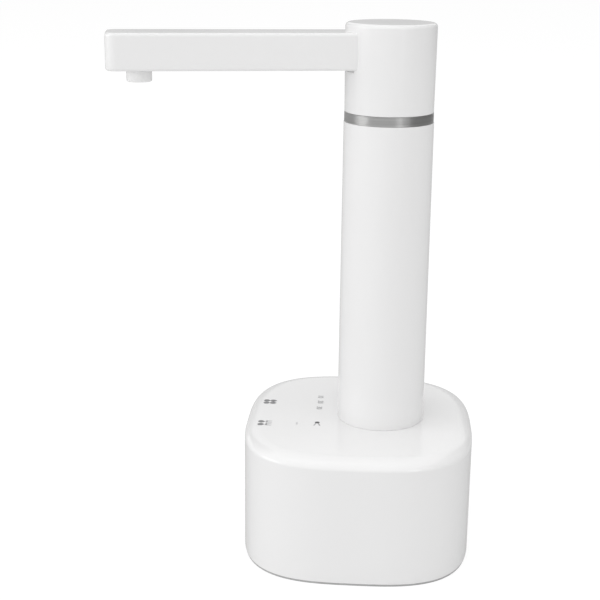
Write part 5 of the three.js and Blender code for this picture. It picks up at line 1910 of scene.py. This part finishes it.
@dataclass(frozen=True)
class Nozzle:
    """The round nozzle under the arm's end and the ring with fins in its mouth."""

    reach: float = NOZZLE_REACH
    radius: float = 5.45
    mouth: float = 214.15
    mouth_bore: float = 4.3
    mouth_depth: float = 4.0
    mouth_step_round: float = 0.2
    mouth_lip_round: float = 0.3
    mouth_round: float = 0.8
    flange_radius: float = 7.2
    flange_foot: float = 221.4
    flange_foot_round: float = 0.1
    flange_top: float = 222.8
    flange_top_round: float = 0.2
    barrel_radius: float = 5.15
    barrel_top: float = 230.75
    barrel_round: float = 0.4
    steps: int = 6
    channel_height: float = 227.25
    channel_radius: float = 1.5
    well_radius: float = 2.2
    well_foot: float = 215.15
    barb_core: float = 2.2
    barb_crest: float = 2.7
    barb_length: float = 6.0
    barb_overlap: float = 0.3
    fin_foot: float = 214.85
    fin_height: float = 3.0
    fin_thickness: float = 0.8
    fin_ring: float = 4.0
    fin_ring_sides: int = 64
    fin_foot_round: float = 0.15
    fin_top_round: float = 0.1
    fin_foot_gap: float = 0.2
    fin_top_gap: float = 0.1
    fin_ring_steps: int = 3
    fin_steps: int = 2
    sharp: float = 38.0

    def build(self, pose: Matrix) -> None:
        """Makes the nozzle and the finned ring.

        Args:
            pose: The matrix that turns the head.
        """
        place = pose @ Matrix.Translation((-self.reach, 0.0, 0.0))
        self.build_nozzle(place)
        self.build_fins(place)

    def body(self) -> Draft:
        """Draws the nozzle with its flange and barrel, without its channels.

        Returns:
            The closed draft.
        """
        step = self.mouth + self.mouth_depth
        section = [
            (0.0, step, 0.0),
            (self.mouth_bore, step, self.mouth_step_round),
            (self.mouth_bore, self.mouth, self.mouth_lip_round),
            (self.radius, self.mouth, self.mouth_round),
            (self.radius, self.flange_foot, 0.0),
            (self.flange_radius, self.flange_foot, self.flange_foot_round),
            (self.flange_radius, self.flange_top, self.flange_top_round),
            (self.barrel_radius, self.flange_top, self.flange_top_round),
            (self.barrel_radius, self.barrel_top, self.barrel_round),
            (0.0, self.barrel_top, 0.0),
        ]
        return lathe(trace(section, self.steps, closed=False), PORT_SIDES)

    def build_nozzle(self, place: Matrix) -> None:
        """Joins a hose end to the nozzle and cuts the water's way through both.

        Args:
            place: The matrix of the nozzle's own frame.
        """
        nozzle = self.body().moved(place).piece("spout_nozzle")
        half = self.barb_length / 2
        root = self.barrel_radius - self.barb_overlap
        barb = [
            (0.0, root - OVERRUN),
            (self.barb_core, root - OVERRUN),
            (self.barb_core, root),
            (self.barb_crest, root),
            (self.barb_core, root + half),
            (self.barb_crest, root + half),
            (self.barb_core, root + 2 * half),
            (0.0, root + 2 * half),
        ]
        turn = Matrix.Rotation(QUARTER_TURN, 4, "Y")
        across = place @ Matrix.Translation((0.0, 0.0, self.channel_height)) @ turn
        work_on(nozzle, Way.JOIN, [lathe(barb, POST_SIDES).moved(across).piece("barb")])
        # Water comes across from the hose end and goes down the well.
        rim = circle(self.well_radius, POST_SIDES)
        well = slab(rim, self.well_foot, self.channel_height + self.well_radius)
        rim = circle(self.channel_radius, POST_SIDES)
        channel = slab(rim, 0.0, root + self.barb_length + OVERRUN)
        tools = [well.moved(place).piece("well"), channel.moved(across).piece("channel")]
        work_on(nozzle, Way.CUT, tools)
        smooth(nozzle, self.sharp)
        settle(nozzle, Body.HEAD, GLOSS_WHITE, "nozzle")

    def build_fins(self, place: Matrix) -> None:
        """Makes the ring with crossed fins that calms the water.

        Args:
            place: The matrix of the nozzle's own frame.
        """
        inner = self.fin_ring - self.fin_thickness
        low, high = self.fin_foot, self.fin_foot + self.fin_height
        section = [
            (inner, low, self.fin_foot_round),
            (self.fin_ring, low, self.fin_foot_round),
            (self.fin_ring, high, self.fin_top_round),
            (inner, high, self.fin_top_round),
        ]
        turned = lathe(trace(section, self.fin_ring_steps), self.fin_ring_sides)
        ring = turned.moved(place).piece("flow_fins")
        long, short = 2 * inner + self.fin_thickness, self.fin_thickness
        fins = []
        for length, width in ((long, short), (short, long)):
            outline = rounded_rectangle(length, width, self.fin_top_round, self.fin_steps)
            fin = slab(outline, low + self.fin_foot_gap, high - self.fin_top_gap)
            fins.append(fin.moved(place).piece("fin"))
        work_on(ring, Way.JOIN, fins)
        smooth(ring)
        settle(ring, Body.HEAD, INNER_WHITE, "flow_straightener")


# Screws and inner pieces


@dataclass(frozen=True)
class ScrewSet:
    """Screws of one size that face the same way, made where the frame has them."""

    stem: str
    count: int
    facing: Facing
    shank: float = 1.2
    head: float = 2.2
    head_height: float = 1.3
    body: Body = Body.BASE
    pitch: float = 0.8
    thread_share: float = 0.2

    def build(self, tree: NodeTree) -> None:
        """Makes the screws as one piece.

        Args:
            tree: The screw tree.
        """
        nodes = [f"{self.stem}_{number}" for number in range(1, self.count + 1)]
        facing = Vector(self.facing.value)
        seats, length = [], 0.0
        for node in nodes:
            # A screw stands where its head meets its shank.
            low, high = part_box(node)
            reach = abs((high - low).dot(facing)) / 2
            seats.append((low + high) / 2 + facing * (reach - self.head_height * MM))
            length = 2 * reach / MM - self.head_height
        name = f"{self.stem}s"
        mesh = bpy.data.meshes.new(name)
        mesh.from_pydata(seats, [], [])
        ways = mesh.attributes.new("facing", "FLOAT_VECTOR", "POINT")
        ways.data.foreach_set("vector", [value for _ in seats for value in facing])
        piece = add_object(name, mesh)
        sizes = {
            "Shank Radius": self.shank,
            "Head Radius": self.head,
            "Head Height": self.head_height,
            "Length": length,
            "Pitch": self.pitch,
            "Thread Depth": self.thread_share * self.shank,
        }
        grow(piece, tree, STEEL, {key: value * MM for key, value in sizes.items()})
        smooth(piece)
        settle(piece, self.body, STEEL, *nodes)


@dataclass(frozen=True)
class Fasteners:
    """Every screw of the pump, made by one Geometry Nodes tree."""

    sets: tuple[ScrewSet, ...] = (
        ScrewSet("cover_screw", 4, Facing.DOWN),
        ScrewSet("board_screw", 2, Facing.DOWN),
        ScrewSet("pump_screw", 4, Facing.SIDE),
        ScrewSet("strap_screw", 2, Facing.UP),
        ScrewSet("spout_screw", 2, Facing.DOWN, 0.8, 1.5, 1.0, body=Body.HEAD),
    )

    def build(self, tree: NodeTree) -> None:
        """Makes every set of screws."""
        for screws in self.sets:
            screws.build(tree)


@dataclass(frozen=True)
class InnerWorks:
    """The pieces inside the casing, which keep the frame's shapes and get their finishes."""

    finishes: tuple[tuple[Finish, tuple[str, ...]], ...] = (
        (INNER_WHITE, ("bottom_cover", "battery_cradle", "battery_strap", "motor_saddle")),
        (INNER_WHITE, ("motor_strap", "column_nut", "swivel_neck")),
        (BLACK_RUBBER, ("inlet_seal", "pump_gasket", "shaft_seal", "column_gasket")),
        (BLACK_RUBBER, ("pin_seal_1", "pin_seal_2")),
        (SILICONE, ("inlet_tube", "riser_tube", "spout_tube")),
        (BOARD_GREEN, ("usb_board", "control_board")),
        (CELL_WRAP, ("battery_cell",)),
        (FOAM, ("touch_pad_left", "touch_pad_right")),
        (CLEAR_GUIDE, ("light_guide",)),
        (PUMP_NYLON, ("pump_body", "pump_cover", "motor_cap", "water_pin", "swivel_elbow")),
        (GEAR_RESIN, ("drive_gear", "idler_gear", "thrust_washer", "swivel_collar")),
        (STEEL, ("drive_shaft", "idler_pin", "motor_can", "retaining_clip")),
    )

    def build(self) -> None:
        """Gives each kept node its finish."""
        for finish, names in self.finishes:
            for name in names:
                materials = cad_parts[name].data.materials
                materials.clear()
                materials.append(finish.material())
                LOG.info("%s: finish %s", name, finish.name)


def main() -> None:
    """Builds the camera, the studio and every piece."""
    logging.basicConfig(level=logging.INFO, format="%(message)s")
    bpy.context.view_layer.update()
    PhotoCamera().build()
    Studio().build()
    BaseHousing().build(SuperellipseGrowth().finished())
    TouchPanel().build()
    RearPorts().build()
    Column().build()
    TrimRing().build()
    head = TurningHead()
    head.build()
    Nozzle().build(head.pose)
    Fasteners().build(ScrewGrowth().finished())
    InnerWorks().build()


if __name__ == "__main__":
    main()
